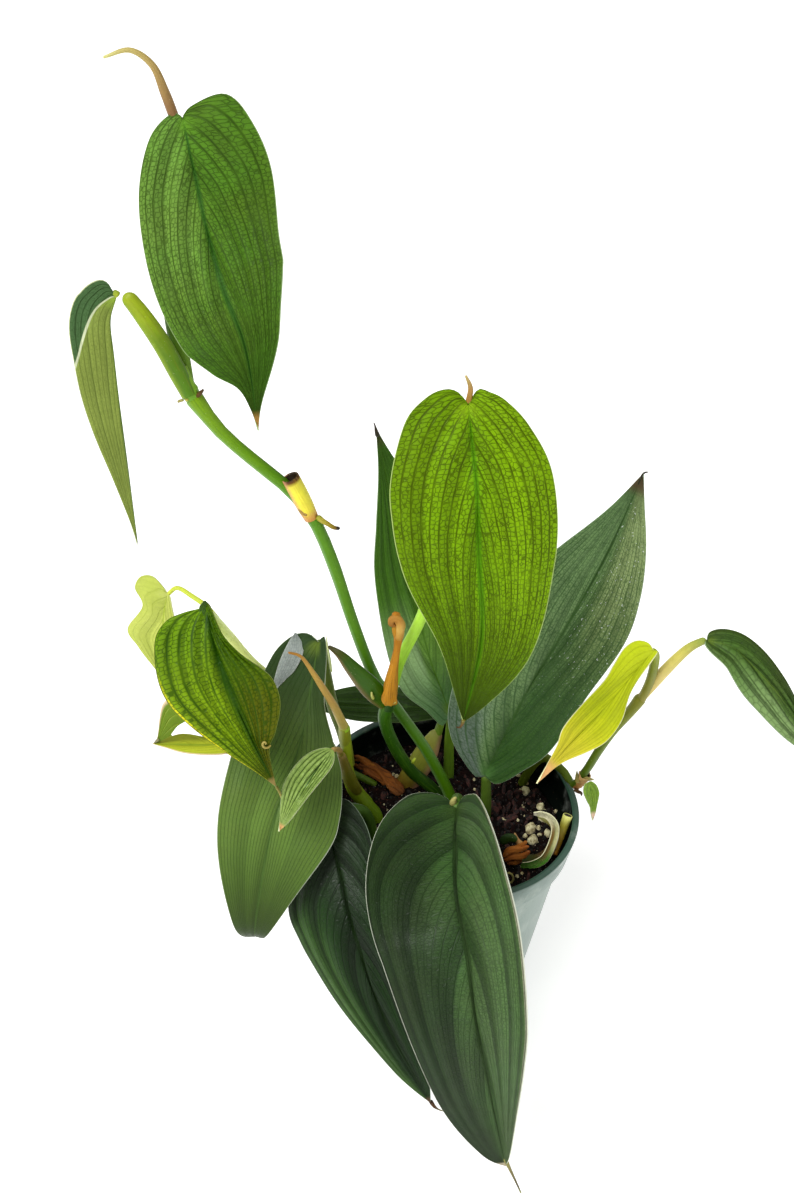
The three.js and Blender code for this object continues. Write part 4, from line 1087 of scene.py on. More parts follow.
addStalk("newLeafTop", dict(
    node="new_leaf_top",
    path=[(-108, 10.93, 343.26), (-110, 7.03, 351.55), (-112, 5.21, 358.13), (-115, 3, 366), (-121, 1, 370),
          (-128, -2, 368)],
    radii=[1, 1.5, 1.5, 1.1, 0.8, 0.4], root=1.5,
    tones=[(0, "694727"), (0.3, "856035"), (0.6, "a68b4d"), (0.85, "beaf66"), (1, "cfcc81")],
    stripes="77522d",
))

addStalk("stemCentre", dict(
    node="stem_centre",
    path=[(-1, 17, 56), (-3, 15, 78), (-16, 10, 96), (-24, 5, 113), (-29, 1, 130), (-28, -1, 141)],
    radii=[2.8, 2.7, 2.6, 2.6, 2.5, 2.9],
    tones=[(0, "1a3803"), (0.5, "234a03"), (0.85, "2c5905"), (1, "305e05")], stripes="6a9625",
))

addStalk("petioleCentre", dict(
    node="petiole_centre",
    path=[(-28, -1, 140), (-26, -2, 160), (-19, -4, 187), (-13, -6, 225), (-10, -8, 258), (-12, -14, 276),
          (-13, -17.51, 278.66)],
    radii=[2.6, 2.2, 2.1, 2, 1.9, 1.6], root=2.5,
    tones=[(0, "1f410d"), (0.06, "28510f"), (0.1, "85ba29"), (0.4, "b2e246"), (0.75, "99cc2d"),
           (1, "b7e252")],
    stripes="79ad21",
))

addStalk("sheathDry", dict(
    node="sheath_dry",
    path=[(-28, -4.7, 142.4), (-28, -7, 156), (-27, -9, 175), (-28, -10, 183), (-29, -11, 191)],
    radii=[2.9, 2.5, 1.9, 1.35, 1.25, 1.6, 1.3], flat=0.75, ridges=0.2, ridgeCount=7,
    tones=[(0, "c59327"), (0.08, "ba7f17"), (0.4, "bb8118"), (0.7, "b07212"), (0.88, "c58f23"),
           (1, "ac6e14")],
    stripes="5e2f03", stripeCount=14, stripeStrength=0.85, rough=0.65,
))

addStalk("sheathGreen", dict(
    node="sheath_green",
    path=[(-29, -1, 139), (-36, -3, 149), (-43, -3, 157), (-48, -2, 162), (-53, 0, 164)],
    radii=[2.6, 4.2, 4.4, 3.4, 2.2, 0.7], flat=0.6, root=1.5,
    tones=[(0, "3a5c01"), (0.4, "2e5400"), (0.75, "284900"), (0.9, "3a3a02"), (1, "312801")],
    stripes="445b01", flank=("8a6a48", 0, 0.6),
))

addStalk("newLeafCentre", dict(
    node="new_leaf_centre",
    path=[(-13, -17, 280.5), (-13, -18, 285), (-15, -20, 290)],
    radii=[1, 0.8, 0.35], root=1,
    tones=[(0, "9f722f"), (0.5, "ad8444"), (1, "c2ac69")], stripes="91642d",
))

addStalk("petioleBack", dict(
    node="petiole_back",
    path=[(2, 30, 56), (1, 29, 78), (-1, 26, 100), (-2, 22, 116), (-3.18, 20.48, 120.7)],
    radii=[2.4, 2.3, 2, 1.6],
    tones=[(0, "4d7217"), (1, "739627")], stripes="3f6011",
))

addStalk("petioleRightLarge", dict(
    node="petiole_right_large",
    path=[(17, 5, 56), (17, 5, 78), (15, 5, 98), (14.09, 4.48, 102.65)],
    radii=[2.5, 2.4, 1.9],
    tones=[(0, "354a11"), (1, "4e671f")], stripes="2a3e0d",
))

addStalk("petioleLowBack", dict(
    node="petiole_low_back",
    path=[(-6, 29, 102), (-5, 31, 107), (-5, 32.27, 110.46)],
    radii=[1.9, 1.6, 1.4], root=1,
    tones=[(0, "779627"), (1, "698b22")], stripes="5f7d1c",
))

addStalk("sheathLowBack", dict(
    node="sheath_low_back",
    path=[(-20, 18, 60), (-17, 20, 77), (-12, 23, 88), (-8, 27, 98), (-6, 29, 103)],
    radii=[3, 4.2, 5.3, 5.2, 2.3], flat=0.6,
    tones=[(0, "351c04"), (0.3, "5f3b0e"), (0.45, "77651d"), (0.62, "919834"), (0.85, "989837"),
           (1, "aeae5b")],
    stripes="5f5a20", flank=("b4806c", 180, 0.75),
))

addStalk("stemLeft", dict(
    node="stem_left",
    path=[(-27, -2, 56), (-28, -2, 78), (-33, -3, 87), (-39, -4, 97), (-42, -5, 109), (-43, -5, 120),
          (-44, -6, 131)],
    radii=[3, 2.9, 2.8, 3.1, 2.5, 2.2, 1.9], rings=[(0.42, 0.3, 0.02)],
    tones=[(0, "4b610c"), (0.4, "627f0e"), (0.7, "859518"), (1, "96ac1d")], stripes="455a09",
))

addStalk("sheathLeft", dict(
    node="sheath_left",
    path=[(-36.5, -4.2, 94), (-41, -8, 106), (-45, -9, 119)],
    radii=[2.1, 2.6, 1.8],
    tones=[(0, "5b5911"), (0.6, "63640f"), (0.9, "776722"), (1, "ad8f53")], stripes="4a470d",
))

addStalk("sheathLime", dict(
    node="sheath_lime",
    path=[(-41, -2, 108), (-43.5, -5, 122), (-44.5, -8.5, 133)],
    radii=[1.8, 2.4, 2], root=1, ends=("flat", "cup"),
    tones=[(0, "6c721f"), (0.5, "7f8a22"), (0.85, "969c26"), (1, "a0a63e")], stripes="626817",
))

addStalk("newLeafLeft", dict(
    node="new_leaf_left",
    path=[(-44.3, -8.3, 132), (-48.5, -14, 147), (-52, -17, 156), (-56.5, -20, 166.5), (-61, -22, 175),
          (-65.5, -24, 178)],
    radii=[1.9, 1.7, 1.4, 1.2, 0.8, 0.4], root=1.5,
    tones=[(0, "ade432"), (0.06, "c0b058"), (0.4, "b6944e"), (0.75, "b99443"), (1, "a97228")],
    stripes="84662b", rough=0.45,
))

addStalk("petioleLeftLarge", dict(
    node="petiole_left_large",
    path=[(-42.5, -3, 114.5), (-45.5, 1, 122), (-50, 5, 131), (-53, 6.5, 142.5), (-55.5, 7, 156),
          (-56.91, 3.49, 162.66)],
    radii=[2, 2.3, 2.3, 2.1, 1.7], root=1.5,
    tones=[(0, "5b6717"), (0.5, "6a7d25"), (1, "5f7627")], stripes="485518",
))

addStalk("shootLeft", dict(
    node="shoot_left",
    path=[(-39, -4, 98), (-54, 5, 117), (-69, 6, 135), (-82, 2, 151), (-90, -5, 168)],
    radii=[1.8, 1.8, 1.8, 2.1], root=1.5,
    tones=[(0, "6f8c2c"), (0.55, "b8cc59"), (0.75, "e4f086"), (1, "ecf698")], stripes="c8dc77",
))

addStalk("petioleLeftBright", dict(
    node="petiole_left_bright",
    path=[(-90, -5, 168), (-94, -12, 179), (-96, -17, 187), (-95.91, -19.53, 190.64)],
    radii=[2, 2.4, 1.5], root=1.5,
    tones=[(0, "ecf698"), (0.6, "dcec86"), (1, "a0bc4a")], stripes="c0d468",
))

addStalk("petioleLeftPale", dict(
    node="petiole_left_pale",
    path=[(-90, -4, 168), (-97, -6, 180), (-104, -3, 183), (-110, 1, 183), (-113.82, 2.48, 178.7)],
    radii=[1.1, 1, 0.9, 0.8], root=1.5,
    tones=[(0, "b6c63b"), (1, "c8d244")], stripes="a5b634",
))

addStalk("petioleLeftFolded", dict(
    node="petiole_left_folded",
    path=[(-82, 2, 151), (-82, -2, 137), (-83, -7, 124), (-85, -9.67, 118.5)],
    radii=[1.3, 1.2, 1.1], root=1.2,
    tones=[(0, "86a52d"), (1, "8da127")], stripes="738f22",
))

addStalk("petioleLeftSmall", dict(
    node="petiole_left_small",
    path=[(-44, -8, 116), (-45.5, -13, 124), (-44.5, -22, 132), (-45.5, -29, 139),
          (-46.94, -32.52, 141.64)],
    radii=[1.2, 1.1, 0.9], root=1,
    tones=[(0, "777622"), (0.5, "8a6e32"), (1, "a6894d")], stripes="695225",
))

addStalk("petioleFrontLeft", dict(
    node="petiole_front_left",
    path=[(-29, -13, 56), (-29, -14, 78), (-33, -18, 97), (-42, -25, 105), (-47.84, -28.65, 102.54)],
    radii=[2.4, 2.4, 2.2, 1.7],
    tones=[(0, "335013"), (1, "43641c")], stripes="253e0c",
))

addStalk("petioleFront", dict(
    node="petiole_front",
    path=[(6, 0, 56), (6, 0, 78), (4, -6, 97), (2, -17, 108), (2.3, -24.8, 110.52)],
    radii=[2.5, 2.4, 2.2, 1.8],
    tones=[(0, "335013"), (1, "4e6d22")], stripes="253e0c",
))

addStalk("stemRight", dict(
    node="stem_right",
    path=[(32, 27, 56), (33, 27, 80), (39, 26, 96), (47, 19.5, 96.5), (51.8, 12.5, 95.4), (54.5, 7.5, 108),
          (57.5, 6, 121), (61, 5, 133), (66, 5, 144), (69, 5, 152)],
    radii=[2.4, 2.2, 1.9, 1.9, 1.7, 1.6, 1.7, 1.8, 2, 2.3], rings=[(0.97, 0.3, 0.015)],
    tones=[(0, "4a580e"), (0.2, "5c6d14"), (0.38, "6a7a1b"), (0.55, "3e5b0a"), (0.8, "667a18"),
           (1, "868523")],
    stripes="3b5108",
))

addStalk("collarRight", dict(
    node="collar_right",
    path=[(53, 13, 94), (53.4, 11, 97), (54.1, 9, 101.5), (54.6, 8, 105.5)],
    radii=[2, 1.9, 2, 2.6], ends=("round", "cup"), ridges=0.1,
    tones=[(0, "623714"), (0.2, "8f5c29"), (0.6, "b3854a"), (1, "c9a268")], stripes="553714", rough=0.7,
))

addStalk("petioleRightYoung", dict(
    node="petiole_right_young",
    path=[(69, 4.5, 152), (70, 4, 159), (69.7, 2, 167), (68.5, -1, 176), (65.94, -5.58, 181.58)],
    radii=[1.7, 1.8, 1.7, 1.3], root=1.5,
    tones=[(0, "918b38"), (0.5, "77801f"), (1, "91a117")], stripes="6a6e1c",
))

addStalk("petioleRightDark", dict(
    node="petiole_right_dark",
    path=[(69.5, 5.5, 152), (74.5, 4, 165.5), (80, 2, 178), (84, 1, 183), (85.86, 0.32, 184.51)],
    radii=[1.9, 2.3, 2.1, 1.5], flat=0.75, root=1.5,
    tones=[(0, "c7b15b"), (0.35, "dfcb79"), (0.7, "cbc15b"), (1, "7c9137")], stripes="b7994c",
))

addStalk("sproutBase", dict(
    node="sprout",
    path=[(27, -18, 66), (31, -19, 79), (38.5, -16.5, 79.5), (43, -13, 81.5), (44.5, -9, 85),
          (43.5, -6, 89), (37, -3, 91)],
    radii=[2.1, 2.2, 2.3, 2.1, 1.8, 1.4, 0.9],
    tones=[(0, "1e3805"), (0.3, "274a07"), (0.5, "4d350f"), (0.75, "5b4317"), (0.88, "988f48"),
           (1, "ccce7f")],
    stripes="666425",
))

addStalk("sproutPetiole", dict(
    node="sprout_petiole",
    path=[(44.6, -16.5, 84.4), (47.6, -6.8, 86.8), (49, -4, 93.5)],
    radii=[1.3, 1.7, 2], root=1.2, ends=("flat", "cup"),
    tones=[(0, "76480b"), (0.35, "95761d"), (0.75, "beb343"), (1, "dddd7e")], stripes="868831",
))

addStalk("sheathOnSoil", dict(
    node="sheath_on_soil",
    path=[(-38, 27.5, 80.5), (-33, 25, 81.2), (-26, 20, 80.5), (-18, 13, 79.5)],
    radii=[1, 2.6, 3, 2.6, 1.8], flat=0.6, up=(0, 0, 1), ridges=0.45, ridgeCount=5,
    tones=[(0, "5b2e0c"), (0.4, "834711"), (0.7, "915218"), (1, "5b330f")], stripes="250f02",
    stripeCount=16, stripeStrength=0.9, rough=0.75,
))

print("stalks grown")


# Curled tips, small roots, torn bits and flaps that the blades and stalks carry

addTwig("backTipHook", dict(
    path=[(-41.9, 31, 237.9), (-42.7, 31, 240.2), (-43.3, 31, 242.2), (-43.9, 31, 243.6)],
    radii=[1, 0.75, 0.4, 0.2],
    tones=[(0, "25260c"), (1, "311809")], stripes="1a1407",
))

addTwig("rightLargeTipHook", dict(
    path=[(54.4, 31, 228.7), (55.3, 31.5, 231.9), (56.1, 32, 233.8), (57.5, 32, 234.4)],
    radii=[0.9, 0.7, 0.45, 0.25],
    tones=[(0, "252a11"), (1, "231608")], stripes="1a1407",
))

addTwig("centreTipHook", dict(
    path=[(-2, -46, 174.3), (-2.2, -46.3, 172.3), (-3, -46.3, 170.6), (-4.2, -46, 170.4)],
    radii=[0.7, 0.55, 0.4, 0.2],
    tones=[(0, "696714"), (0.4, "5b4111"), (1, "3f2609")], stripes="4d380c",
))

addTwig("frontLeftTipHair", dict(
    path=[(3.7, -88, 15.9), (5.4, -90, 15.3), (7.1, -90, 13.6), (9.2, -90, 12.6)],
    radii=[0.9, 0.7, 0.35, 0.2],
    tones=[(0, "3f240c"), (0.5, "4d3314"), (1, "776d3a")], stripes="311b07",
))

addTwig("frontTipHair", dict(
    path=[(30.4, -115, 28), (32.7, -117, 24.5), (36.3, -118, 17), (39.4, -119, 10.5)],
    radii=[1, 0.6, 0.4, 0.3],
    tones=[(0, "918f4d"), (0.4, "776d3a"), (0.8, "4d4125"), (1, "858944")], stripes="5b502a",
))

addTwig("leftBrightCurl", dict(
    path=[(-67.9, -46.5, 153.7), (-68.8, -47, 152.8), (-70, -47.5, 153.1), (-70.7, -47.5, 154.2),
          (-70.4, -47.5, 155.5), (-69.5, -47.5, 155.4), (-69.7, -47.8, 154.7)],
    radii=[0.3, 0.4, 0.45, 0.45, 0.42, 0.35, 0.2],
    tones=[(0, "91823a"), (1, "ad9d53")], stripes="695922",
))

addTwig("leftBrightTipHair", dict(
    path=[(-65.5, -46.5, 134.1), (-64, -46.5, 130.8), (-63.1, -46.5, 127.4)],
    radii=[0.6, 0.45, 0.25],
    tones=[(0, "776e2d"), (1, "a69d53")], stripes="695922",
))

addTwig("leftFoldedTipSpike", dict(
    path=[(-114.6, -16, 122.9), (-115.6, -16.3, 122), (-116.7, -16.5, 120.7)],
    radii=[0.75, 0.5, 0.2],
    tones=[(0, "8a885a"), (1, "7b7463")], stripes="776e53",
))

addTwig("leftLargeTopSpike", dict(
    path=[(-51, -1, 152.5), (-52.1, 0.5, 157), (-53.2, 1.5, 161.9), (-54.2, 3, 166.6)],
    radii=[0.4, 0.55, 0.4, 0.1],
    tones=[(0, "9faf6e"), (0.5, "bec98c"), (1, "c9cc94")], stripes="85965b",
))

addTwig("farLeftNeck", dict(
    path=[(-126.9, 0, 295.5), (-127.9, 0, 296.3), (-128.9, 0, 296.7)],
    radii=[1.3, 1.1, 0.9],
    tones=[(0, "9fac27"), (1, "91a532")], stripes="77891c",
))

addTwig("nodeTwoCollar", dict(
    path=[(-102.6, 0, 261.5), (-104.2, -0.3, 264), (-106.2, -0.3, 267.5), (-108.3, 1, 272)],
    radii=[2.75, 3.15, 3.2, 2.9], flat=0.9, ends=("flat", "flat"), rings=[(0.3, 0.25, 0.06)],
    tones=[(0, "5f9613"), (0.5, "75a11a"), (1, "6d9214")], stripes="5f8911",
))

addTwig("nodeTwoRoot", dict(
    path=[(-103, -1, 263), (-101.2, -1.5, 264.5), (-99.6, -1.5, 266.5)],
    radii=[0.9, 0.8, 0.35],
    tones=[(0, "917b32"), (0.4, "5b4111"), (1, "3f2a09")], stripes="3f2a09",
))

addTwig("nodeTwoBud", dict(
    path=[(-101.8, -1.5, 261.5), (-100.6, -2, 261.3)],
    radii=[0.55, 0.45],
    tones=[(0, "b4a55e"), (1, "9f8b4d")], stripes="8a7943",
))

addTwig("nodeTwoDot", dict(
    path=[(-105, -2.2, 262.6), (-105, -3.1, 262.9)],
    radii=[0.75, 0.6],
    tones=[(0, "adac3d"), (1, "bbb753")], stripes="8a8f2d",
))

addTwig("nodeTwoThread", dict(
    path=[(-106.3, -1, 261.6), (-107.6, -1.2, 261.2), (-108.4, -1.2, 260.6)],
    radii=[0.45, 0.5, 0.4],
    tones=[(0, "a69d53"), (1, "91884d")], stripes="8a7943",
))

addTwig("sheathRoot", dict(
    path=[(-60, 0, 221), (-58, -0.8, 219.9), (-55.8, -1, 218.8), (-53.7, -1, 217.6), (-51.5, -1, 217.5)],
    radii=[1.2, 1, 0.85, 0.75, 0.6],
    tones=[(0, "919d2d"), (0.25, "ada138"), (0.6, "9f8827"), (0.82, "775e1a"), (0.88, "251807"),
           (1, "170f05")],
    stripes="857622",
))

addTwig("sheathHem", dict(
    path=[(-66.3, -1.6, 225), (-64.8, -1.8, 223), (-63, -1.6, 222.3)],
    radii=[0.8, 0.9, 0.8],
    tones=[(0, "9f8045"), (1, "ad8948")], stripes="775927",
))

addTwig("centreRootOne", dict(
    path=[(-34, -6, 145.5), (-34.7, -6.5, 147.6), (-35, -6.5, 149.3)],
    radii=[0.6, 0.55, 0.3],
    tones=[(0, "9fa543"), (1, "bbba69")], stripes="8a8f3d",
))

addTwig("centreRootTwo", dict(
    path=[(-27.2, -5.5, 143.8), (-26.1, -6, 144.8), (-25.2, -6, 145.7)],
    radii=[0.5, 0.5, 0.3],
    tones=[(0, "9fa543"), (1, "bbba69")], stripes="8a8f3d",
))

addTwig("centreBud", dict(
    path=[(-16.1, -2, 111.2), (-15.7, -2.5, 113.1), (-15.2, -2.5, 114.5)],
    radii=[0.7, 0.8, 0.35],
    tones=[(0, "697d17"), (1, "98a52d")], stripes="5b6e11",
))

addTwig("frontBud", dict(
    path=[(0.4, -22, 109.3), (0.7, -22.5, 112.6), (1.4, -22.5, 114.8)],
    radii=[1, 1.3, 0.5],
    tones=[(0, "918b4d"), (1, "ada563")], stripes="776e3a",
))

addStalk("dryCurl", dict(
    path=[(-26.9, -10.5, 178.3), (-26.7, -10.8, 182.2), (-26.8, -11, 185.5), (-27.9, -11.3, 188.1),
          (-29.5, -11.6, 188.5), (-30.3, -11.8, 187.2), (-29.6, -11.8, 185.7), (-28.4, -11.8, 186.1)],
    radii=[1.35, 1.45, 1.6, 1.7, 1.6, 1.4, 1.1, 0.6], ridges=0.12, sides=16, rows=40,
    tones=[(0, "b07b27"), (0.35, "c9a14d"), (0.6, "b07d32"), (1, "915c1a")], stripes="77430c", rough=0.65,
))

addTwig("collarPointBack", dict(
    path=[(52.2, 7, 101.3), (51.6, 7.5, 104.1), (51.1, 8, 106.9)],
    radii=[1.1, 0.8, 0.2], flat=0.4, ridges=0.1,
    tones=[(0, "98883d"), (1, "77764b")], stripes="695c27",
))

addTwig("collarPointSide", dict(
    path=[(54, 7, 104.3), (55.9, 6.5, 104.5), (58.4, 6.5, 104.6)],
    radii=[1.3, 1, 0.2], flat=0.4, ridges=0.1,
    tones=[(0, "9f8b45"), (1, "afa769")], stripes="77672d",
))

addTwig("collarHook", dict(
    path=[(51.8, 9, 95.9), (53.5, 8.5, 95.2), (54.8, 8, 95), (55.2, 8, 93.4)],
    radii=[0.9, 0.8, 0.6, 0.2],
    tones=[(0, "4d3111"), (1, "311f09")], stripes="311f09",
))

addTwig("sproutShoot", dict(
    path=[(32.6, -19, 86.5), (30.7, -18.5, 88.5), (28.4, -18, 90.5), (27, -17.5, 93.8)],
    radii=[0.9, 1.2, 1, 0.35],
    tones=[(0, "a66e32"), (0.5, "b4884f"), (1, "bb925b")], stripes="91602f",
))

addScrap("sproutScrapA", dict(
    path=[(23.3, -24, 86.4), (25.9, -24, 90.5), (29.3, -24, 91.8), (32.6, -24, 94)],
    radii=[0.6, 1.5, 1.3, 0.5],
    tones=[(0, "9f551a"), (0.6, "a96422"), (1, "9f551a")], stripes="4e2609",
))

addScrap("sproutScrapB", dict(
    path=[(24, -23.7, 83.9), (26.9, -23.7, 86.6), (30.3, -23.7, 87.7), (33.4, -23.7, 91)],
    radii=[0.8, 1.8, 1.5, 0.6],
    tones=[(0, "914a18"), (0.6, "a96422"), (1, "914a18")], stripes="4e2609",
))

addScrap("sproutScrapC", dict(
    path=[(26.3, -23.4, 90.8), (29.2, -23.4, 92.9), (31.5, -23.4, 96)],
    radii=[0.5, 1, 0.5],
    tones=[(0, "ad6725"), (0.6, "a96422"), (1, "ad6725")], stripes="4e2609",
))

addScrap("sproutScrapD", dict(
    path=[(25.5, -23.1, 81.8), (28.2, -23.1, 83), (31.1, -23.1, 84.9)],
    radii=[0.6, 1.2, 0.5],
    tones=[(0, "773811"), (0.6, "a96422"), (1, "773811")], stripes="4e2609",
))

addTwig("sproutGreenBit", dict(
    path=[(22.1, -20, 89.4), (23.9, -19, 91.5), (26.2, -19, 92.4), (27.9, -20, 91.4)],
    radii=[1.6, 2.3, 2.2, 1.2], flat=0.5,
    tones=[(0, "172a07"), (1, "25410c")], stripes="132303",
))

addTwig("rootCurl", dict(
    path=[(24.6, -30, 82.2), (25.6, -30, 84.1), (27.3, -30, 83.2), (28, -30.5, 80.9), (26.9, -31, 79.6),
          (25.9, -31, 81.2)],
    radii=[0.4, 0.45, 0.45, 0.45, 0.4, 0.3],
    tones=[(0, "ada563"), (1, "91884d")], stripes="776b38",
))

addSheet("sproutSheath", dict(
    thickness=0.4,
    right=[(31.5, -22, 79.4), (37.3, -23, 81.1), (41.5, -21, 83), (43.8, -18, 87.1), (45.1, -14, 91.1),
           (44.5, -11, 94.8), (41.3, -9, 97.4), (37.3, -8, 97.7), (34.5, -7.5, 96.3)],
    left=[(30.4, -21.5, 81.6), (34.6, -21.5, 82.8), (38.8, -20, 85), (40.9, -17, 87.9), (42.1, -13.5, 91.3),
          (41.9, -11, 93.2), (39.9, -9, 94.6), (37.7, -8, 94.7), (34.9, -7, 94.4)],
    cell="3f8a14", vein="c8c888", edge="f4ecc4", tip="fff8dc",
    tintAmount=0.3, veins=6, veinStrength=0.3, gloss=0.42, bulge=-1.2,
    zones=[("96682c", -1, -0.6, 0.2, 0.2, 0.35, 0.95), ("f0ecac", 1, -0.1, 0.5, 0.3, 0.5, 0.9),
           ("fffad0", 0, *allAcross, 0.6, 0.8, 0.9)],
))

addStalk("soilScrapA", dict(
    path=[(-41.3, 28, 83.5), (-38.7, 27.5, 84.3), (-34.5, 26, 82.2), (-29.7, 23, 78.6), (-23.6, 19, 75),
          (-19.4, 15, 74.8)],
    radii=[0.6, 1.5, 1.9, 1.7, 1.6, 1], flat=0.5, ridges=0.3, ridgeCount=5, sides=14, rows=36,
    tones=[(0, "693c11"), (0.3, "915217"), (0.8, "9b5e1c"), (1, "693c14")], stripes="402307", rough=0.75,
))

addStalk("soilScrapB", dict(
    path=[(-40.1, 27, 80.5), (-37.4, 26, 79.4), (-34.1, 24.5, 77.8), (-30.6, 22, 73.5), (-29.5, 21, 71.1)],
    radii=[0.8, 1.2, 1.7, 1.3, 0.4], flat=0.5, ridges=0.3, ridgeCount=5, sides=14, rows=36,
    tones=[(0, "693c11"), (0.3, "773c0f"), (0.8, "9b5e1c"), (1, "693c14")], stripes="402307", rough=0.75,
))

addStalk("soilScrapC", dict(
    path=[(-40.7, 28, 81.8), (-36.4, 27, 82.7), (-31.4, 25, 81.2), (-26.6, 22, 78.2)],
    radii=[0.5, 1, 1.3, 0.6], flat=0.5, ridges=0.3, ridgeCount=5, sides=14, rows=36,
    tones=[(0, "693c11"), (0.3, "a96d25"), (0.8, "9b5e1c"), (1, "693c14")], stripes="402307", rough=0.75,
))

addTwig("strayStem", dict(
    path=[(-41.2, 17, 85), (-36, 17.5, 82), (-29.3, 18.5, 77.6)],
    radii=[1.5, 1.5, 1.4],
    tones=[(0, "48640f"), (1, "5b7617")], stripes="3d550f",
))

addSheet("leftLargeFlap", dict(
    face=(0, -0.7, 0.7),
    right=[(-65.6, 3.6, 165.9), (-62.7, 2.2, 161.5), (-62.6, -0.2, 158.2), (-65, -3, 153),
           (-69.2, -5.4, 148.5)],
    left=[(-66.2, 3.9, 165.6), (-68.2, 2, 162.2), (-71, -1.5, 155), (-72.4, -5.6, 147.6),
          (-71.6, -7.2, 145.4)],
    # the flap's grey-silver colours are a painted sheen
    cell="a4aca8", vein="4c5650", edge="d4d4cc", tip="b4bcb4",
    tintAmount=0.3, veins=4, veinStrength=0.8, gloss=0.35, edgeWide=1, bulge=1, crease=0.15,
))

addSheet("leftBrightLobe", dict(
    right=[(-95.9, -19.5, 193.7), (-94.2, -19, 191.2), (-92.9, -20, 188.1), (-91.9, -22, 184.9),
           (-92.1, -24.5, 181.8)],
    left=[(-96.5, -20, 193.8), (-97.9, -21, 191.3), (-97.2, -22, 188.2), (-95.3, -23.5, 185.1),
          (-92.9, -25, 182.1)],
    cell="466a1c", vein="1c3808", edge="8a9c60", tip="3c5c18",
    tintAmount=0.3, veins=4, gloss=0.42, bulge=0.6,
))

print("details added")


# Pot: a thin moulded shell with a turned-out band and drain holes, in mm

potShell = {
    "base": 43,
    "bandBottom": 79,
    "bandRadius": 50,
    "step": 1.4,
    "rim": 54,
    "height": 92,
    "lip": 2.7,
    "wall": 1.6,
    "floor": 2,
    "tuck": 0.8,  # the wall inside meets the band this far below its bottom
    "drain": 4.5,
    "drainCircle": 31,
    "drains": 6,
    "drainSides": 32,
    "drainDepth": 8,
    "edges": 128,
    "softEdge": 0.6,
    "softSteps": 3,
    "softAngle": 25,
    "smooth": 40,
    "inward": 0.2,  # a face that turns in by more than this is inside
    "insideTop": 1.5,
}

potPaint = {
    "outside": "7b8e84",
    # painted shade: the inside of the pot is the same plastic, painted near black
    "inside": "060c08",
    "rim": ("325040", 1.2, 0.4),  # colour, and where below the top it starts and is full
    "line": ("f4fbf6", 2.3, 1.1, 0.5),  # painted highlight along the lower edge of the rim: colour, place below the top, and half widths
    "underRimShade": ("50655c", 22, 4),  # painted shade under the rim, made patchy, given like the rim
    "stain": ("c9cfc4", 60, 5.0, 0.5, 0.8, 0.35, 0.65),
    "flecks": ("3a2c22", 900, 1.0, 0.7, 0.76, 0.5),
    "streaks": (240, 240, 14),
    "relief": 0.08,
}


def mouldPot(pot):  # the outside wall, then the band, the lip and the inside drawn on from it
    clearSelection()
    bottom = pot["bandBottom"]
    bpy.ops.mesh.primitive_cone_add(vertices=pot["edges"], radius1=pot["base"] * mm,
                                    radius2=pot["bandRadius"] * mm, depth=bottom * mm,
                                    location=(0, 0, bottom * mm / 2))
    piece = named("potShell")
    bpy.ops.object.transform_apply(location=True)
    selectFaces(piece.data, lambda face: face.normal.z > 0.9)
    inner = pot["rim"] - pot["lip"]
    profile = [
        (pot["rim"] - pot["step"], bottom + pot["step"]),
        (pot["rim"], pot["height"]),
        (inner, pot["height"]),
        (inner, bottom + 2 * pot["step"]),
        (pot["bandRadius"] - pot["wall"], bottom - pot["tuck"]),
        (pot["base"] - pot["wall"], pot["floor"]),
    ]
    radius, height = pot["bandRadius"], bottom
    for nextRadius, nextHeight in profile:
        bpy.ops.mesh.extrude_region_move(TRANSFORM_OT_translate={"value": (0, 0, (nextHeight - height) * mm)})
        k = nextRadius / radius
        bpy.ops.transform.resize(value=(k, k, 1), center_override=(0, 0, nextHeight * mm))
        radius, height = nextRadius, nextHeight
    bpy.ops.object.mode_set(mode="OBJECT")
    return piece


def drainPot(piece, pot):
    for k in range(pot["drains"]):
        turn = 2 * math.pi * k / pot["drains"]
        spot = Vector((math.cos(turn), math.sin(turn), 0)) * pot["drainCircle"] * mm
        bpy.ops.mesh.primitive_cylinder_add(vertices=pot["drainSides"], radius=pot["drain"] * mm,
                                            depth=pot["drainDepth"] * mm, location=spot)
        cutter = bpy.context.active_object
        selectPiece(piece)
        hole = piece.modifiers.new("drain", "BOOLEAN")
        hole.operation = "DIFFERENCE"
        hole.object = cutter
        bpy.ops.object.modifier_apply(modifier=hole.name)
        bpy.data.objects.remove(cutter)


def softenPot(piece, pot):
    soft = piece.modifiers.new("softEdges", "BEVEL")
    soft.width = pot["softEdge"] * mm
    soft.segments = pot["softSteps"]
    soft.limit_method = "ANGLE"
    soft.angle_limit = math.radians(pot["softAngle"])
    bpy.ops.object.modifier_apply(modifier=soft.name)
    bpy.ops.object.shade_smooth_by_angle(angle=math.radians(pot["smooth"]))


def isInside(face, pot):
    x, y = face.center.x, face.center.y
    inward = face.normal.x * x + face.normal.y * y < -pot["inward"] * math.hypot(x, y)
    return inward and face.center.z < (pot["height"] - pot["insideTop"]) * mm


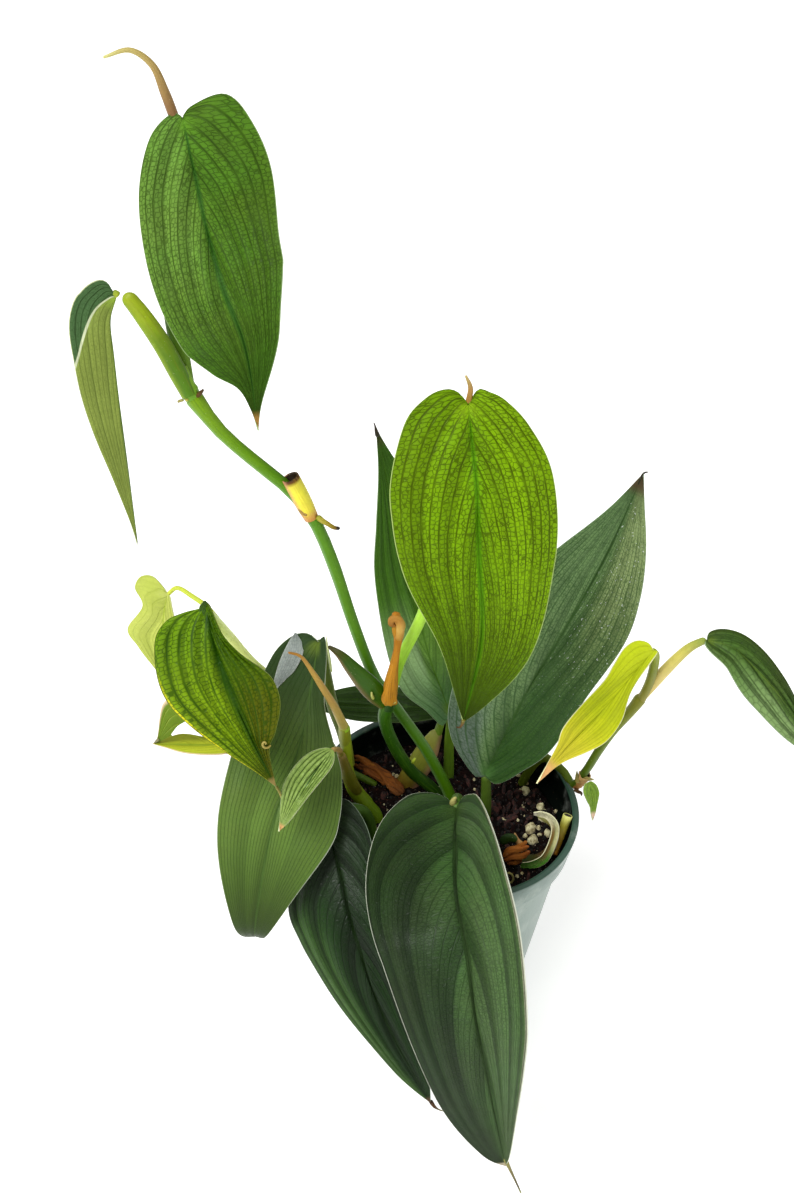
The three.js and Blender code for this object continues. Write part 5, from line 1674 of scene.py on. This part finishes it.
def potMaterial(pot, name, outer, rough, shine):
    material, tree, shader, place = startMaterial(name)
    x, y, height = parted(tree, place)
    across = calc(tree, "SQRT", calc(tree, "ADD", calc(tree, "POWER", x, 2.0), calc(tree, "POWER", y, 2.0)))
    slope = (pot["bandRadius"] - pot["base"]) / pot["bandBottom"]
    wall = calc(tree, "MULTIPLY_ADD", height, slope, (pot["base"] - 0.8) * mm)
    onOutside = calc(tree, "GREATER_THAN", across, wall)
    bandInside = calc(tree, "GREATER_THAN", across, (pot["rim"] - 1.9) * mm)
    onBand = calc(tree, "GREATER_THAN", height, (pot["bandBottom"] - 1) * mm)
    outside = times(tree, mixed(tree, onBand, onOutside, bandInside), outer)
    # faces inside the pot take the inside colour, which is painted shade
    tone = mixed(tree, outside, paint(potPaint["inside"]), paint(potPaint["outside"]))
    below = calc(tree, "SUBTRACT", pot["height"] * mm, height)
    code, start, full = potPaint["rim"]
    tone = mixed(tree, fade(tree, below, start * mm, full * mm), tone, paint(code))
    # painted highlight: a pale line along the lower edge of the rim
    code, middle, wide, full = potPaint["line"]
    off = calc(tree, "ABSOLUTE", calc(tree, "SUBTRACT", below, middle * mm))
    line = times(tree, outside, fade(tree, off, wide * mm, full * mm))
    tone = mixed(tree, times(tree, line, fade(tree, clouds(tree, place, 40), 0.4, 0.6)), tone, paint(code))
    # painted shade under the rim, made patchy
    code, start, full = potPaint["underRimShade"]
    underRimShade = times(tree, outside, fade(tree, below, start * mm, full * mm))
    underRimShade = times(tree, underRimShade, fade(tree, clouds(tree, place, 70), 0.35, 0.65, 0.3, 0.7))
    tone = mixed(tree, underRimShade, tone, paint(code))
    tone = flecked(tree, tone, place, *potPaint["stain"])
    streak = tree.nodes.new("ShaderNodeMapping")
    streak.inputs["Scale"].default_value = potPaint["streaks"]
    link(tree, place, streak.inputs["Vector"])
    streaks = clouds(tree, streak.outputs["Vector"], 1.0, 3.0)
    tone = uneven(tree, tone, 0.3, streaks, 0.7)
    coat(tree, shader, flecked(tree, tone, place, *potPaint["flecks"]), rough, shine)
    raised(tree, shader, calc(tree, "ADD", clouds(tree, place, 700), streaks), potPaint["relief"])
    return material


shell = mouldPot(potShell)
drainPot(shell, potShell)
softenPot(shell, potShell)
shell.data.materials.append(potMaterial(potShell, "potPlastic", 1.0, 0.34, 0.3))
# the inside faces take a near-black copy of the plastic: painted shade
shell.data.materials.append(potMaterial(potShell, "potShadedInside", 0.0, 0.8, 0.03))
for face in shell.data.polygons:
    if isInside(face, potShell):
        face.material_index = 1
finishPiece(shell, "pot")
print("pot moulded")


# Potting mix: a crumbly top, with perlite and bark on it, in mm

mix = {
    "top": 78.3,
    "radius": 48,
    "baseRadius": 41,
    "bottom": 2.4,
    "cells": 150,
    "smooth": 60,
    "swell": (1.3, 0.13, 0.11),  # height of the wide swells, and how close they are along x and y
    "lumps": [(0.21, 1.1), (0.55, 0.9), (1.3, 0.6)],  # how close and how high
    "dark": "070403",
    "brown": "210f0c",
    "flecks": [("5a3022", 700, 2.0, 0.62, 0.7, 0.5), ("b8ac98", 1100, 1.0, 0.7, 0.74, 0.6)],
    "rough": 0.95,
    "shine": 0.15,
    "relief": 1.2,
    "seed": 7,
    "barkHeap": (27, 9, 8),  # bark gathers here: x, y and spread
    "clear": 2,  # nothing lies this near the edge
}

grains = {
    "perliteGrains": {
        "count": 110,
        "sizes": (0.7, 2.2),
        "lift": 0.12,  # its middle lies this share of its size above the mix
        "stretch": (1, 0.8, 0.65),
        "colours": ("a89a70", "e0d8ac"),
        "large": [  # x, y and size
            (36, 1.5, 5.0), (39.5, 2.5, 2.6), (36.8, -5.3, 5.2), (42.7, -2, 3.6), (41.3, 6.5, 3.6),
            (40.5, 14.1, 3.6), (34.3, 22.5, 4.0), (42.4, 27.2, 3.2), (24.4, 5.8, 2.4), (37.8, -13.9, 1.6),
            (31.1, -21.3, 1.8), (47, 12.6, 1.8), (39.8, -1.8, 2.2), (33.9, -2.6, 2.4),
        ],
    },
    "barkBits": {
        "count": 130,
        "sizes": (2.0, 6.0),
        "lift": 0.06,
        "stretch": (1, 0.7, 0.32),
        "colours": ("180b08", "4c261f"),
        "heaped": 0.22,  # share of them on the heap
    },
    "mixCrumbs": {
        "count": 700,
        "sizes": (0.8, 2.4),
        "lift": 0.1,
        "stretch": (1, 0.8, 0.7),
        "colours": ("080504", "150b08"),
    },
}


def mixHeight(x, y):  # height of the mix at a place, all in mm
    spot = Vector((x, y, 0))
    tall, alongX, alongY = mix["swell"]
    height = mix["top"] + tall * math.sin(alongX * x + 1) * math.cos(alongY * y)
    for close, tall in mix["lumps"]:
        height += tall * noise.noise(spot * close)
    return height


def buildMix(mix):
    clearSelection()
    bpy.ops.mesh.primitive_grid_add(x_subdivisions=mix["cells"], y_subdivisions=mix["cells"], size=2)
    piece = named("pottingMix")
    for point in piece.data.vertices:
        x, y = point.co.x, point.co.y
        reach = max(abs(x), abs(y))
        if reach > 0:
            k = reach / math.hypot(x, y) * mix["radius"]
            x, y = x * k, y * k
        point.co = Vector((x, y, mixHeight(x, y))) * mm
    selectNothing("EDGE")
    bpy.ops.mesh.select_non_manifold()
    bpy.ops.mesh.extrude_region_move(TRANSFORM_OT_translate={"value": (0, 0, 0)})
    k = mix["baseRadius"] / mix["radius"]
    bpy.ops.transform.resize(value=(k, k, 0), center_override=(0, 0, mix["bottom"] * mm))
    bpy.ops.mesh.edge_face_add()
    bpy.ops.mesh.select_all(action="SELECT")
    bpy.ops.mesh.normals_make_consistent(inside=False)
    bpy.ops.object.mode_set(mode="OBJECT")
    bpy.ops.object.shade_smooth_by_angle(angle=math.radians(mix["smooth"]))
    return piece


def mixMaterial(mix):
    material, tree, shader, place = startMaterial("pottingMix")
    lumps = clouds(tree, place, 260, 5.0, 0.7)
    tone = mixed(tree, fade(tree, lumps, 0.42, 0.68), paint(mix["dark"]), paint(mix["brown"]))
    for flecks in mix["flecks"]:
        tone = flecked(tree, tone, place, *flecks)
    coat(tree, shader, tone, mix["rough"], mix["shine"])
    raised(tree, shader, calc(tree, "ADD", lumps, cells(tree, place, 420, "F1")), mix["relief"])
    return material


def grainShape(seed, stretch):  # one rough grain, about 1 across
    clearSelection()
    bpy.ops.mesh.primitive_ico_sphere_add(subdivisions=2, radius=0.5)
    grain = bpy.context.active_object
    for point in grain.data.vertices:
        point.co *= 1 + 0.35 * noise.noise(point.co * 2.3 + Vector((seed, 0, 0)))
        point.co = Vector([a * b for a, b in zip(point.co, stretch)])
    points = np.array([p.co for p in grain.data.vertices])
    faces = [tuple(f.vertices) for f in grain.data.polygons]
    bpy.data.objects.remove(grain)
    return points, faces


def spots(kind, dice):  # place and size in mm, and three turns, of each grain
    made = []

    def lay(x, y, size, grown):
        place = (x, y, mixHeight(x, y) + size * kind["lift"])
        made.append((place, size * grown, dice.uniform(0, 6.28, 3)))

    for x, y, size in kind.get("large", []):
        lay(x, y, size, 1.15)
    heapX, heapY, spread = mix["barkHeap"]
    for _ in range(kind["count"]):
        size = dice.uniform(*kind["sizes"])
        if dice.random() < kind.get("heaped", 0):
            x, y = heapX + dice.normal(0, spread / 2), heapY + dice.normal(0, spread / 2)
        else:
            reach, turn = mix["radius"] * 0.96 * math.sqrt(dice.random()), dice.uniform(0, 2 * math.pi)
            x, y = reach * math.cos(turn), reach * math.sin(turn)
        if math.hypot(x, y) <= mix["radius"] - mix["clear"]:
            lay(x, y, size, 1)
    return made


def scatter(name, grain, spots):  # copies of one grain
    points, faces = grain
    allPoints, allFaces = [], []
    for place, size, turns in spots:
        spin = Matrix.Identity(3)
        for turn, axis in zip(turns, "XYZ"):
            spin = spin @ Matrix.Rotation(turn, 3, axis)
        first = len(allPoints) * len(points)
        allPoints.append((points * size) @ np.array(spin).T + np.array(place))
        allFaces += [tuple(first + k for k in face) for face in faces]
    mesh = bpy.data.meshes.new(name)
    mesh.from_pydata((np.vstack(allPoints) * mm).tolist(), [], allFaces)
    piece = bpy.data.objects.new(name, mesh)
    bpy.context.scene.collection.objects.link(piece)
    return piece


def grainMaterial(name, dark, light):
    material, tree, shader, place = startMaterial(name)
    patches = clouds(tree, place, 600, 4.0, 0.6)
    tone = mixed(tree, fade(tree, patches, 0.4, 0.62), paint(dark), paint(light))
    coat(tree, shader, uneven(tree, tone, 0.5, clouds(tree, place, 90), 1.2), 0.9)
    raised(tree, shader, patches, 0.4)
    return material


top = buildMix(mix)
top.data.materials.append(mixMaterial(mix))
finishPiece(top, "soil")
dice = np.random.default_rng(mix["seed"])
for name, kind in grains.items():
    piece = scatter(name, grainShape(kind["count"], kind["stretch"]), spots(kind, dice))
    piece.data.materials.append(grainMaterial(name, *kind["colours"]))
    finishPiece(piece)
print("mix filled")
